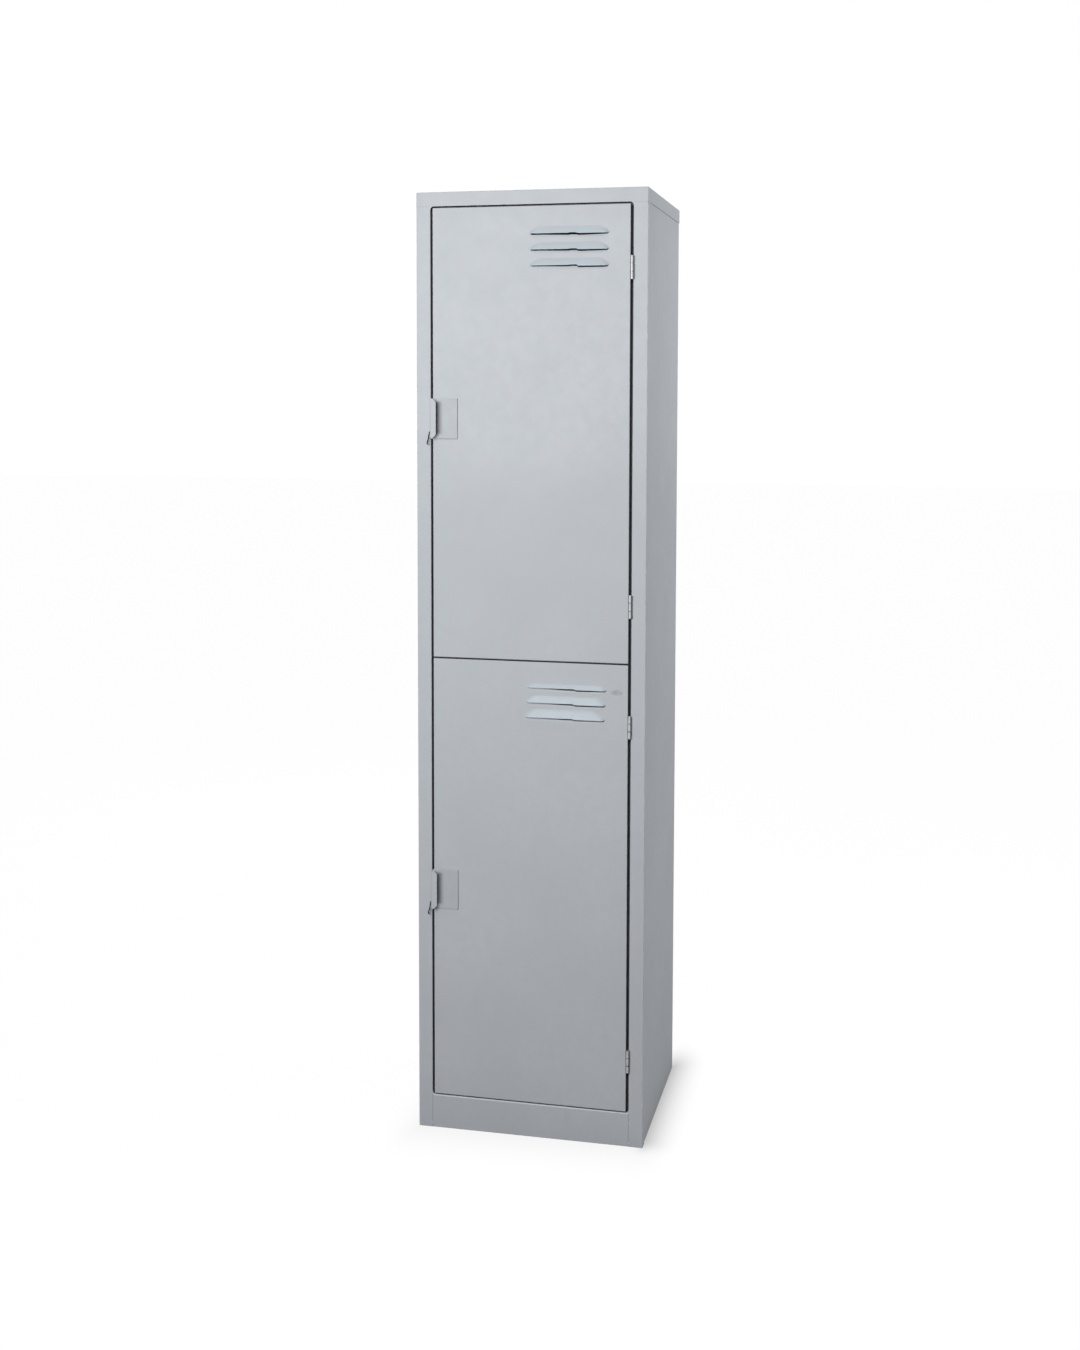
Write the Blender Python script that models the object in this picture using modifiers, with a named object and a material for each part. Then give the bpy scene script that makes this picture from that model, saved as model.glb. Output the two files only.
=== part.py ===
"""A two-tier steel locker cabinet: a welded sheet-metal carcass with two inset doors on butt hinges.

Metres, +Z up. The origin is the centre of the footprint on the floor, and the doors face -Y.
Every sheet is its own object, and sheets that are welded or riveted together keep SEAM between them.
"""

import math

import bmesh
import bpy
from mathutils import Matrix, Vector

# Overall size
WIDTH = 0.448
DEPTH = 0.400  # carcass, front face to back face
HEIGHT = 1.830
SHEET = 0.001
SEAM = 0.0003  # left between pieces that touch

# Handle: one bent plate on the door's free edge
HANDLE_PROUD = 0.0135
HANDLE_SHEET = 0.0015
HANDLE_PLATE = 0.0012
HANDLE_HEIGHT = 0.077
HANDLE_PLATE_WIDTH = 0.0519
HANDLE_LIP_WIDTH = 0.0124
HANDLE_CHAMFER = 0.008
HANDLE_FOOT_CHAMFER = 0.0096
HANDLE_OVERHANG = 0.0029  # past the door's free edge

# The handle is the foremost piece, so the footprint's centre lies between it and the back
BACK = (DEPTH + HANDLE_PROUD) / 2
FRONT = BACK - DEPTH

# Carcass
SIDE = WIDTH / 2
CAP_FLANGE = 0.0267
CAP_UNDERSIDE = HEIGHT - CAP_FLANGE
STILE_WIDTH = 0.0277
STILE_RETURN = 0.020
JAMB = SIDE - STILE_WIDTH
JAMB_DEPTH = 0.0188
STOP_WIDTH = 0.0173
STOP_REAR = FRONT + JAMB_DEPTH + SHEET + SEAM
PLINTH_HEIGHT = 0.0661
PLINTH_RETURN = 0.0165
PANEL_FACE = SIDE - SHEET - SEAM
INNER_FACE = PANEL_FACE - SHEET - SEAM
BACK_PANEL = BACK - SHEET - SEAM
INNER_BACK = BACK_PANEL - SHEET - SEAM
INNER_TOP = HEIGHT - SHEET - SEAM
SHELF_FLANGE = 0.024
MIDDLE_SHELF_TOP = 0.950
BOTTOM_SHELF_TOP = 0.078
HEADER_DROP = 0.012
HEADER_HEAD = 0.002  # below the ceiling

# Doors: the free edge is on the left and the hinges on the right
DOOR_LEFT = -0.1921
DOOR_RIGHT = 0.1907
DOOR_DEPTH = 0.016
DOOR_REAR = FRONT + DOOR_DEPTH
DOOR_LIP = 0.027
DOORS = {
    "upper": {
        "bottom": 0.9393,
        "top": 1.8000,
        "handle": 1.4003,
        "hinges": (1.0480, 1.6825),
        "louvre": 1.7478,
    },
    "lower": {
        "bottom": 0.0688,
        "top": 0.9363,
        "handle": 0.4815,
        "hinges": (0.1695, 0.8185),
        "louvre": 0.8868,
    },
}

# Louvres: three hoods pressed out of the sheet, open underneath
LOUVRE_LEFT = -0.0020
LOUVRE_RIGHT = 0.1500
LOUVRE_COUNT = 3
LOUVRE_PITCH = 0.0293
LOUVRE_RISE = 0.014
LOUVRE_PROUD = 0.0045
HOOD_CORNERS = ((1.0, 0.0), (1.0, 0.12), (0.6, 0.62))  # shares of the proudness and the rise
HOOD_ROOF = (0.1, 0.8)  # the hollow's height at its front and back, as shares of the rise

# Door stiffener: a hat section spot-welded inside the door
HAT_LEFT = -0.062
HAT_BRIM = 0.012
HAT_CROWN = 0.032
HAT_DEPTH = 0.0122
HAT_END = 0.030

# Butt hinges
AXIS_X = 0.1943
AXIS_Y = FRONT - 0.0036
KNUCKLE_RADIUS = 0.0035
BORE_RADIUS = 0.0017
PIN_RADIUS = 0.0014
HINGE_HEIGHT = 0.043
KNUCKLE_HEIGHT = 0.0139
KNUCKLE_GAP = 0.0004
PIN_END = 0.0006
LEAF_SHEET = 0.0012
LEAF_START = AXIS_Y + 0.0042
LEAF_END = FRONT + 0.0150
LEAF_TABS = {"frame": AXIS_Y + 0.0020, "door": AXIS_Y + 0.0012}  # where each leaf meets its barrel
BORE_LENGTH = 1.5 * HINGE_HEIGHT

# Padlock tongue: fixed to the frame, it comes out through a slot beside the handle's leg
TONGUE_LEFT = -0.1881
TONGUE_SHEET = 0.002
TONGUE_TIP = FRONT - 0.0113
TONGUE_HEIGHT = 0.017
TONGUE_TAB = FRONT + 0.0221
PADLOCK_HOLE = 0.003
PADLOCK_Y = FRONT - 0.0066
SLOT_LEFT = -0.1898
SLOT_RIGHT = -0.1848
SLOT_HEIGHT = 0.022
NOTCH_CLEARANCE = 0.0005
CUT_OVERRUN = 0.005  # how far a cutter runs past a sheet
HOLE_LENGTH = 0.003

# Wire clip hanging in a small hole near the foot of the handle's leg
CLIP_RADIUS = 0.001
CLIP_HOLE = 0.0017
CLIP_Y = FRONT - 0.0072
CLIP_RISE = 0.0145
# (x off the leg's middle, z off the hole)
CLIP_ROUTE = (
    (0.0030, -0.0030),
    (0.0028, -0.0010),
    (0.0016, 0.0),
    (-0.0016, 0.0),
    (-0.0030, -0.0012),
    (-0.0078, -0.0200),
    (-0.0076, -0.0222),
    (-0.0058, -0.0232),
)

# Rubber buffers, magnetic catches and coat hooks
BUFFER_RADIUS = 0.004
BUFFER_THICKNESS = 0.0022
BUFFER_X = -0.1855
BUFFER_INSET = 0.060
CATCH_RISE = 0.070
CATCH_HEIGHT = 0.044
CATCH_GAP = 0.0015
CATCH_WIDTH = 0.013
CATCH_DEPTH = 0.0145
CATCH_TAB = 0.015
STRIKE_HEIGHT = 0.040
STRIKE_INSET = 0.0002
STRIKE_WIDTH = 0.0125
STRIKE_SHEET = 0.0008
HOOK_RADIUS = 0.003
HOOK_STEM = 0.0048
HOOK_TIP = (0.002, 0.006)
HOOK_STEPS = 6
HOOK_BASE = (0.040, 0.024, 0.002)
HOOK_DROP = 0.050
HOOK_REACH = 0.026
HOOK_Y = 0.030

# How finely round things are drawn
HOLE_SEGMENTS = 24
BUFFER_SEGMENTS = 20
PIN_SEGMENTS = 16
WIRE_ROUNDNESS = 2
SHARP_ANGLE = math.radians(30)
MERGE_DISTANCE = 1e-6


def clear_scene():
    for old in list(bpy.data.objects):
        bpy.data.objects.remove(old, do_unlink=True)


def new_collection(name):
    collection = bpy.data.collections.new(name)
    bpy.context.scene.collection.children.link(collection)
    return collection


def new_material(name, colour, roughness, metallic):
    material = bpy.data.materials.new(name)
    material.use_nodes = True
    shader = material.node_tree.nodes["Principled BSDF"]
    shader.inputs["Base Color"].default_value = (*colour, 1.0)
    shader.inputs["Roughness"].default_value = roughness
    shader.inputs["Metallic"].default_value = metallic
    return material


clear_scene()
PARTS = new_collection("locker_cabinet")
CUTTERS = new_collection("cutters")
PAINT = (0.50, 0.53, 0.56)
FINISHES = {
    "paint": (PAINT, 0.5, 0.0),
    "hinge": ((0.56, 0.58, 0.60), 0.45, 0.0),
    "steel": ((0.55, 0.55, 0.54), 0.35, 1.0),
    "wire": ((0.05, 0.05, 0.055), 0.5, 1.0),
    "rubber": ((0.03, 0.03, 0.03), 0.8, 0.0),
    "magnet": ((0.75, 0.74, 0.70), 0.6, 0.0),
}


def mesh_object(name, bm, collection=PARTS):
    """Turns a bmesh into an object whose faces point outwards where it is closed."""
    mesh = bpy.data.meshes.new(name)
    bm.to_mesh(mesh)
    bm.free()
    made = bpy.data.objects.new(name, mesh)
    collection.objects.link(made)
    return made


def finish(made, finish_name):
    """Gives a part a material of its own and sharp-edged smooth shading."""
    colour, roughness, metallic = FINISHES[finish_name]
    made.data.materials.clear()
    made.data.materials.append(new_material(made.name, colour, roughness, metallic))
    made.data.shade_smooth()
    made.data.set_sharp_from_angle(angle=SHARP_ANGLE)
    return made


def as_cutter(made):
    made.hide_render = True
    made.display_type = "WIRE"
    return made


def box(name, low, high, collection=PARTS):
    low, high = Vector(low), Vector(high)
    bm = bmesh.new()
    bmesh.ops.create_cube(bm, size=1.0)
    bmesh.ops.scale(bm, vec=high - low, verts=bm.verts)
    bmesh.ops.translate(bm, vec=(low + high) / 2, verts=bm.verts)
    return mesh_object(name, bm, collection)


def cylinder(name, centre, radius, length, axis="Z", segments=HOLE_SEGMENTS, collection=PARTS):
    turn = {
        "X": Matrix.Rotation(math.pi / 2, 4, "Y"),
        "Y": Matrix.Rotation(math.pi / 2, 4, "X"),
        "Z": Matrix.Identity(4),
    }[axis]
    bm = bmesh.new()
    bmesh.ops.create_cone(
        bm, cap_ends=True, segments=segments, radius1=radius, radius2=radius, depth=length
    )
    bmesh.ops.transform(bm, matrix=Matrix.Translation(centre) @ turn, verts=bm.verts)
    return mesh_object(name, bm, collection)


def curve_to_mesh(curve_object, collection):
    """Replaces a curve with its mesh, with the caps welded on."""
    bpy.context.view_layer.update()
    graph = bpy.context.evaluated_depsgraph_get()
    mesh = bpy.data.meshes.new_from_object(curve_object.evaluated_get(graph))
    name, matrix = curve_object.name, curve_object.matrix_world.copy()
    curve = curve_object.data
    bpy.data.objects.remove(curve_object, do_unlink=True)
    bpy.data.curves.remove(curve)
    bm = bmesh.new()
    bm.from_mesh(mesh)
    bpy.data.meshes.remove(mesh)
    bmesh.ops.remove_doubles(bm, verts=bm.verts, dist=MERGE_DISTANCE)
    bmesh.ops.recalc_face_normals(bm, faces=bm.faces)
    made = mesh_object(name, bm, collection)
    made.matrix_world = matrix
    return made


def outline_plate(name, outline, thickness, matrix, collection=PARTS):
    """A flat outline drawn in local XY, thickened evenly to both sides and placed by matrix."""
    curve = bpy.data.curves.new(name, "CURVE")
    curve.dimensions = "2D"
    curve.fill_mode = "BOTH"
    curve.extrude = thickness / 2
    spline = curve.splines.new("POLY")
    spline.points.add(len(outline) - 1)
    for point, (u, v) in zip(spline.points, outline):
        point.co = (u, v, 0.0, 1.0)
    spline.use_cyclic_u = True
    drawn = bpy.data.objects.new(name, curve)
    collection.objects.link(drawn)
    drawn.matrix_world = matrix
    return curve_to_mesh(drawn, collection)


def wire(name, points, radius, collection=PARTS):
    curve = bpy.data.curves.new(name, "CURVE")
    curve.dimensions = "3D"
    curve.bevel_depth = radius
    curve.bevel_resolution = WIRE_ROUNDNESS
    curve.use_fill_caps = True
    spline = curve.splines.new("POLY")
    spline.points.add(len(points) - 1)
    for point, place in zip(spline.points, points):
        point.co = (*place, 1.0)
    drawn = bpy.data.objects.new(name, curve)
    collection.objects.link(drawn)
    return curve_to_mesh(drawn, collection)


def folded_sheet(name, outline, plane, low, high, finish_name="paint"):
    """A sheet bent along outline and running from low to high square to the plane.

    The outline is the sheet's outer face, drawn so that the metal lies on its left.
    plane is XY for a vertical run and YZ for a run across the cabinet.
    """
    place = {
        "XY": lambda u, v, w: Vector((u, v, w)),
        "YZ": lambda u, v, w: Vector((w, u, v)),
    }[plane]
    bm = bmesh.new()
    verts = [bm.verts.new(place(u, v, low)) for u, v in outline]
    edges = [bm.edges.new(pair) for pair in zip(verts, verts[1:])]
    grown = bmesh.ops.extrude_edge_only(bm, edges=edges)["geom"]
    run = place(0, 0, high) - place(0, 0, low)
    bmesh.ops.translate(bm, vec=run, verts=[v for v in grown if isinstance(v, bmesh.types.BMVert)])
    bm.faces.ensure_lookup_table()
    start, end = Vector(outline[0]), Vector(outline[1])
    outward = place(end.y - start.y, start.x - end.x, 0)
    near = place(*((start + end) / 2), 0)
    first = min(bm.faces, key=lambda face: (face.calc_center_median() - near).length)
    bmesh.ops.recalc_face_normals(bm, faces=bm.faces)
    if first.normal.dot(outward) < 0:
        bmesh.ops.reverse_faces(bm, faces=bm.faces)
    made = mesh_object(name, bm)
    thicken(made)
    return finish(made, finish_name)


def thicken(made, thickness=SHEET):
    solidify = made.modifiers.new("sheet", "SOLIDIFY")
    solidify.thickness = thickness
    solidify.offset = -1.0
    solidify.use_even_offset = True
    solidify.use_rim = True


def boolean(made, tool, operation):
    modifier = made.modifiers.new(tool.name, "BOOLEAN")
    modifier.operation = operation
    modifier.solver = "EXACT"
    modifier.object = as_cutter(tool)


def pan(name, low, high, open_side, lip=0.0):
    """A tray folded from one sheet: a box with one side open, and a return lip round that side."""
    made = box(name, low, high)
    bm = bmesh.new()
    bm.from_mesh(made.data)
    opening = max(bm.faces, key=lambda face: face.calc_center_median().dot(Vector(open_side)))
    if lip:
        bmesh.ops.inset_region(bm, faces=[opening], thickness=lip, use_even_offset=True)
    bmesh.ops.delete(bm, geom=[opening], context="FACES")
    bm.to_mesh(made.data)
    bm.free()
    thicken(made)
    return finish(made, "paint")


def tongue_notch(door_data):
    left = TONGUE_LEFT - NOTCH_CLEARANCE
    right = TONGUE_LEFT + TONGUE_SHEET + NOTCH_CLEARANCE
    half = TONGUE_HEIGHT / 2 + SHEET
    return box(
        "tongue_notch",
        (left, FRONT + JAMB_DEPTH - SHEET, door_data["handle"] - half),
        (right, STOP_REAR + SHEET, door_data["handle"] + half),
        CUTTERS,
    )


def carcass():
    for side, sign in (("left", -1), ("right", 1)):
        panel = box(
            f"side_panel_{side}",
            (min(sign * PANEL_FACE, sign * (PANEL_FACE - SHEET)), FRONT + SHEET + SEAM, 0.0),
            (max(sign * PANEL_FACE, sign * (PANEL_FACE - SHEET)), INNER_BACK, INNER_TOP),
        )
        finish(panel, "paint")
        outline = [
            (sign * SIDE, FRONT + STILE_RETURN),
            (sign * SIDE, FRONT),
            (sign * JAMB, FRONT),
            (sign * JAMB, FRONT + JAMB_DEPTH),
            (sign * (JAMB - STOP_WIDTH), FRONT + JAMB_DEPTH),
        ]
        if sign > 0:
            outline.reverse()
        stile = folded_sheet(f"stile_{side}", outline, "XY", 0.0, CAP_UNDERSIDE - SEAM)
        if sign < 0:
            for door_data in DOORS.values():
                boolean(stile, tongue_notch(door_data), "DIFFERENCE")
    back = box("back_panel", (-PANEL_FACE, BACK_PANEL - SHEET, 0.0), (PANEL_FACE, BACK_PANEL, INNER_TOP))
    finish(back, "paint")
    pan("top_cap", (-SIDE, FRONT, CAP_UNDERSIDE), (SIDE, BACK, HEIGHT), (0, 0, -1))
    header = [
        (FRONT + SHEET + SEAM, INNER_TOP - HEADER_HEAD),
        (FRONT + SHEET + SEAM, CAP_UNDERSIDE),
        (STOP_REAR, CAP_UNDERSIDE),
        (STOP_REAR, CAP_UNDERSIDE - HEADER_DROP),
    ]
    folded_sheet("header_rail", header, "YZ", -INNER_FACE, INNER_FACE)
    plinth = [
        (FRONT + PLINTH_RETURN, PLINTH_HEIGHT),
        (FRONT, PLINTH_HEIGHT),
        (FRONT, 0.0),
        (FRONT + PLINTH_RETURN, 0.0),
    ]
    folded_sheet("plinth", plinth, "YZ", -JAMB + SEAM, JAMB - SEAM)
    for name, top in (("middle_shelf", MIDDLE_SHELF_TOP), ("bottom_shelf", BOTTOM_SHELF_TOP)):
        pan(name, (-INNER_FACE, STOP_REAR, top - SHELF_FLANGE), (INNER_FACE, INNER_BACK, top), (0, 0, -1))


def louvre_outline(proud, rise, back):
    """Side view of a hood, u towards the front and v up from the slit."""
    corners = [(proud * out, rise * up) for out, up in HOOD_CORNERS]
    return [(-back, 0.0), *corners, (-back, rise)]


def across(x_mid, y_front, z_low):
    """Places a side view drawn as (u towards the front, v up) so that its thickness runs along X."""
    columns = Matrix(((0, 0, 1, 0), (-1, 0, 0, 0), (0, 1, 0, 0), (0, 0, 0, 1)))
    return Matrix.Translation((x_mid, y_front, z_low)) @ columns


def add_louvres(door_pan, slit_top):
    middle = (LOUVRE_LEFT + LOUVRE_RIGHT) / 2
    width = LOUVRE_RIGHT - LOUVRE_LEFT
    for row in range(LOUVRE_COUNT):
        z = slit_top - row * LOUVRE_PITCH
        hood = outline_plate(
            "louvre_hood",
            louvre_outline(LOUVRE_PROUD, LOUVRE_RISE, SHEET / 2),
            width,
            across(middle, FRONT, z),
            CUTTERS,
        )
        boolean(door_pan, hood, "UNION")
        inside = [
            (-2 * SHEET, SHEET / 2),
            (SEAM, SHEET / 2),
            (SEAM, -SHEET),
            (LOUVRE_PROUD - SHEET, -SHEET),
            (LOUVRE_PROUD - SHEET, LOUVRE_RISE * HOOD_ROOF[0]),
            (-2 * SHEET, LOUVRE_RISE * HOOD_ROOF[1]),
        ]
        slit = outline_plate(
            "louvre_slit", inside, width - 2 * SHEET, across(middle, FRONT, z), CUTTERS
        )
        boolean(door_pan, slit, "DIFFERENCE")


def door(prefix, door_data):
    leaf = pan(
        f"door_pan_{prefix}",
        (DOOR_LEFT, FRONT, door_data["bottom"]),
        (DOOR_RIGHT, DOOR_REAR, door_data["top"]),
        (0, 1, 0),
        DOOR_LIP,
    )
    add_louvres(leaf, door_data["louvre"])
    boolean(leaf, tongue_slot(door_data), "DIFFERENCE")
    hat_front = FRONT + SHEET + SEAM
    hat_back = hat_front + HAT_DEPTH
    crown_left = HAT_LEFT + HAT_BRIM
    crown_right = crown_left + HAT_CROWN
    hat = [
        (HAT_LEFT, hat_front),
        (crown_left, hat_front),
        (crown_left, hat_back),
        (crown_right, hat_back),
        (crown_right, hat_front),
        (crown_right + HAT_BRIM, hat_front),
    ]
    folded_sheet(
        f"door_stiffener_{prefix}", hat, "XY", door_data["bottom"] + HAT_END, door_data["top"] - HAT_END
    )


def tongue_slot(door_data):
    return box(
        "tongue_slot",
        (SLOT_LEFT, FRONT - CUT_OVERRUN, door_data["handle"] - SLOT_HEIGHT / 2),
        (SLOT_RIGHT, DOOR_REAR + CUT_OVERRUN, door_data["handle"] + SLOT_HEIGHT / 2),
        CUTTERS,
    )


def handle(prefix, door_data):
    """A plate on the door face, a leg standing off its edge, and a lip folded back over the plate."""
    low = door_data["handle"] - HANDLE_HEIGHT / 2
    high = door_data["handle"] + HANDLE_HEIGHT / 2
    left = DOOR_LEFT - HANDLE_OVERHANG
    rear = FRONT - SEAM
    made = box(
        f"handle_{prefix}",
        (left, rear - HANDLE_PLATE, low),
        (left + HANDLE_PLATE_WIDTH, rear, high),
    )
    leg = box(
        "handle_leg",
        (left, FRONT - HANDLE_PROUD, low),
        (left + HANDLE_SHEET, rear - HANDLE_PLATE / 2, high),
        CUTTERS,
    )
    boolean(made, leg, "UNION")
    right = left + HANDLE_LIP_WIDTH
    lip_middle = Matrix.Translation((0, FRONT - HANDLE_PROUD + HANDLE_SHEET / 2, 0))
    lip = outline_plate(
        "handle_lip",
        [
            (left + HANDLE_SHEET / 2, low),
            (right - HANDLE_CHAMFER, low),
            (right, low + HANDLE_FOOT_CHAMFER),
            (right, high - HANDLE_CHAMFER),
            (right - HANDLE_CHAMFER, high),
            (left + HANDLE_SHEET / 2, high),
        ],
        HANDLE_SHEET,
        lip_middle @ Matrix.Rotation(math.pi / 2, 4, "X"),
        CUTTERS,
    )
    boolean(made, lip, "UNION")
    leg_middle = left + HANDLE_SHEET / 2
    padlock = cylinder(
        "padlock_hole",
        (leg_middle, PADLOCK_Y, door_data["handle"]),
        PADLOCK_HOLE,
        HOLE_LENGTH,
        "X",
        collection=CUTTERS,
    )
    boolean(made, padlock, "DIFFERENCE")
    clip_hole = cylinder(
        "clip_hole",
        (leg_middle, CLIP_Y, low + CLIP_RISE),
        CLIP_HOLE,
        HOLE_LENGTH,
        "X",
        PIN_SEGMENTS,
        CUTTERS,
    )
    boolean(made, clip_hole, "DIFFERENCE")
    boolean(made, tongue_slot(door_data), "DIFFERENCE")
    finish(made, "paint")
    clip(prefix, leg_middle, low + CLIP_RISE)


def clip(prefix, leg_middle, z):
    """A bent wire that hangs in the leg, with its tail over the stile. It lies in one upright plane."""
    points = [(leg_middle + along, CLIP_Y, z + up) for along, up in CLIP_ROUTE]
    finish(wire(f"wire_clip_{prefix}", points, CLIP_RADIUS), "wire")


def tongue(prefix, door_data):
    z = door_data["handle"]
    low, high = z - TONGUE_HEIGHT / 2, z + TONGUE_HEIGHT / 2
    right = TONGUE_LEFT + TONGUE_SHEET
    made = box(f"padlock_tongue_{prefix}", (TONGUE_LEFT, TONGUE_TIP, low), (right, TONGUE_TAB, high))
    tab = box(
        "tongue_tab", (-JAMB + 2 * SEAM, STOP_REAR, low), (right - SHEET, TONGUE_TAB, high), CUTTERS
    )
    boolean(made, tab, "UNION")
    hole = cylinder(
        "padlock_hole",
        (TONGUE_LEFT + TONGUE_SHEET / 2, PADLOCK_Y, z),
        PADLOCK_HOLE,
        2 * TONGUE_SHEET,
        "X",
        collection=CUTTERS,
    )
    boolean(made, hole, "DIFFERENCE")
    finish(made, "steel")


def hinge(label, z_mid):
    """A three-knuckle butt hinge: the frame leaf has the end knuckles and the door leaf the middle one."""
    low, high = z_mid - HINGE_HEIGHT / 2, z_mid + HINGE_HEIGHT / 2
    end_low = (low, low + KNUCKLE_HEIGHT)
    middle = (low + KNUCKLE_HEIGHT + KNUCKLE_GAP, high - KNUCKLE_HEIGHT - KNUCKLE_GAP)
    end_high = (high - KNUCKLE_HEIGHT, high)
    frame_right = JAMB - SEAM
    door_left = DOOR_RIGHT + SEAM
    leaves = (
        ("frame", frame_right - LEAF_SHEET, frame_right, (end_low, end_high)),
        ("door", door_left, door_left + LEAF_SHEET, (middle,)),
    )
    for side, x_low, x_high, knuckles in leaves:
        leaf = box(f"hinge_{side}_leaf_{label}", (x_low, LEAF_START, low), (x_high, LEAF_END, high))
        for z_low, z_high in knuckles:
            tab = box(
                "hinge_tab", (x_low, LEAF_TABS[side], z_low), (x_high, LEAF_START + SHEET, z_high), CUTTERS
            )
            boolean(leaf, tab, "UNION")
            barrel = cylinder(
                "hinge_barrel",
                (AXIS_X, AXIS_Y, (z_low + z_high) / 2),
                KNUCKLE_RADIUS,
                z_high - z_low,
                collection=CUTTERS,
            )
            boolean(leaf, barrel, "UNION")
        bore = cylinder(
            "hinge_bore",
            (AXIS_X, AXIS_Y, z_mid),
            BORE_RADIUS,
            BORE_LENGTH,
            segments=PIN_SEGMENTS,
            collection=CUTTERS,
        )
        boolean(leaf, bore, "DIFFERENCE")
        finish(leaf, "hinge")
    pin = cylinder(
        f"hinge_pin_{label}",
        (AXIS_X, AXIS_Y, z_mid),
        PIN_RADIUS,
        HINGE_HEIGHT + 2 * PIN_END,
        segments=PIN_SEGMENTS,
    )
    finish(pin, "steel")


def buffer(label, z):
    middle_y = FRONT + JAMB_DEPTH - SEAM - BUFFER_THICKNESS / 2
    made = cylinder(
        f"rubber_buffer_{label}",
        (BUFFER_X, middle_y, z),
        BUFFER_RADIUS,
        BUFFER_THICKNESS,
        "Y",
        BUFFER_SEGMENTS,
    )
    finish(made, "rubber")


def magnetic_catch(prefix, z):
    stop_edge = -JAMB + STOP_WIDTH
    left = stop_edge + SEAM
    front = DOOR_REAR + CATCH_GAP
    half = CATCH_HEIGHT / 2
    made = box(
        f"magnet_catch_{prefix}",
        (left, front, z - half),
        (left + CATCH_WIDTH, front + CATCH_DEPTH, z + half),
    )
    tab = box(
        "catch_tab",
        (left - CATCH_TAB, STOP_REAR, z - half),
        (left + SHEET, TONGUE_TAB, z + half),
        CUTTERS,
    )
    boolean(made, tab, "UNION")
    finish(made, "magnet")
    strike_left = left + STRIKE_INSET
    strike_front = DOOR_REAR + SEAM
    strike = box(
        f"strike_plate_{prefix}",
        (strike_left, strike_front, z - STRIKE_HEIGHT / 2),
        (strike_left + STRIKE_WIDTH, strike_front + STRIKE_SHEET, z + STRIKE_HEIGHT / 2),
    )
    finish(strike, "steel")


def coat_hook(prefix, ceiling):
    """A double hook riveted under a sheet, with a prong to each side."""
    size_x, size_y, size_z = HOOK_BASE
    made = box(
        f"coat_hook_{prefix}",
        (-size_x / 2, HOOK_Y - size_y / 2, ceiling - size_z),
        (size_x / 2, HOOK_Y + size_y / 2, ceiling),
    )
    bend = HOOK_REACH / 2
    turns = [math.pi * step / HOOK_STEPS for step in range(HOOK_STEPS + 1)]
    for sign in (-1, 1):
        points = [(sign * HOOK_STEM, HOOK_Y, ceiling - size_z / 2)]
        points += [
            (
                sign * (HOOK_STEM + bend - bend * math.cos(turn)),
                HOOK_Y,
                ceiling - HOOK_DROP + bend - bend * math.sin(turn),
            )
            for turn in turns
        ]
        last = points[-1]
        points.append((last[0] + sign * HOOK_TIP[0], last[1], last[2] + HOOK_TIP[1]))
        boolean(made, wire("hook_prong", points, HOOK_RADIUS, CUTTERS), "UNION")
    finish(made, "steel")


def build():
    carcass()
    for prefix, door_data in DOORS.items():
        door(prefix, door_data)
        handle(prefix, door_data)
        tongue(prefix, door_data)
        magnetic_catch(prefix, door_data["handle"] + CATCH_RISE)
        for end, z_mid in zip(("bottom", "top"), door_data["hinges"]):
            hinge(f"{prefix}_{end}", z_mid)
        buffer(f"{prefix}_bottom", door_data["bottom"] + BUFFER_INSET)
        buffer(f"{prefix}_top", door_data["top"] - BUFFER_INSET)
    coat_hook("upper", INNER_TOP)
    coat_hook("lower", MIDDLE_SHELF_TOP - SHEET - SEAM)


build()
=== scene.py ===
"""Looks of the two-tier steel locker cabinet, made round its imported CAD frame.

Metres, +Z up, in the frame's own coordinates: the doors face -Y and their hinges are on the +X side.
Each piece is a finely made version of a CAD node. It rides on that node's body and stands for the node.
"""

import math

import bmesh
import bpy
from mathutils import Matrix, Vector, noise


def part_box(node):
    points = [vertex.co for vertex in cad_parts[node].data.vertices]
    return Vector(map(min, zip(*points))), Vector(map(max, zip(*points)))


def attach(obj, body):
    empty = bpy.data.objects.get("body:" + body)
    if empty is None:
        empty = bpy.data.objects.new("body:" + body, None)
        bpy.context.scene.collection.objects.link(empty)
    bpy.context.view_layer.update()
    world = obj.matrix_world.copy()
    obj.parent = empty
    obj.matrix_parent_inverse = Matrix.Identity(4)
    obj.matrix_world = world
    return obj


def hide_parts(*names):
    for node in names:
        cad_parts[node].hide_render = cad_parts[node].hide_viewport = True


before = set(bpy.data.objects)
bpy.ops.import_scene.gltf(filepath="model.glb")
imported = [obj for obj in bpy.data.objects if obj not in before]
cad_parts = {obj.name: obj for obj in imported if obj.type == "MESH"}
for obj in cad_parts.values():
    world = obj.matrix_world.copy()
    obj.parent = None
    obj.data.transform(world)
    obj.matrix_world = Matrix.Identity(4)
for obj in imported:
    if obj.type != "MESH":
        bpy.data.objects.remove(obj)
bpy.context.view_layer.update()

# Places read from the frame
CAP_LOW, CAP_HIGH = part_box("top_cap")
FRONT = CAP_LOW.y
BACK = CAP_HIGH.y
SIDE = CAP_HIGH.x
TOP = CAP_HIGH.z
CAP_UNDERSIDE = CAP_LOW.z
PLINTH_LOW, PLINTH_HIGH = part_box("plinth")
SEAM = 0.0003  # clearance between sheets that are welded to each other
JAMB = PLINTH_HIGH.x + SEAM
INNER_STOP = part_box("stile_left")[1].x
TIERS = ("upper", "lower")
HINGE_LABELS = [f"{tier}_{end}" for tier in TIERS for end in ("top", "bottom")]

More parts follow.
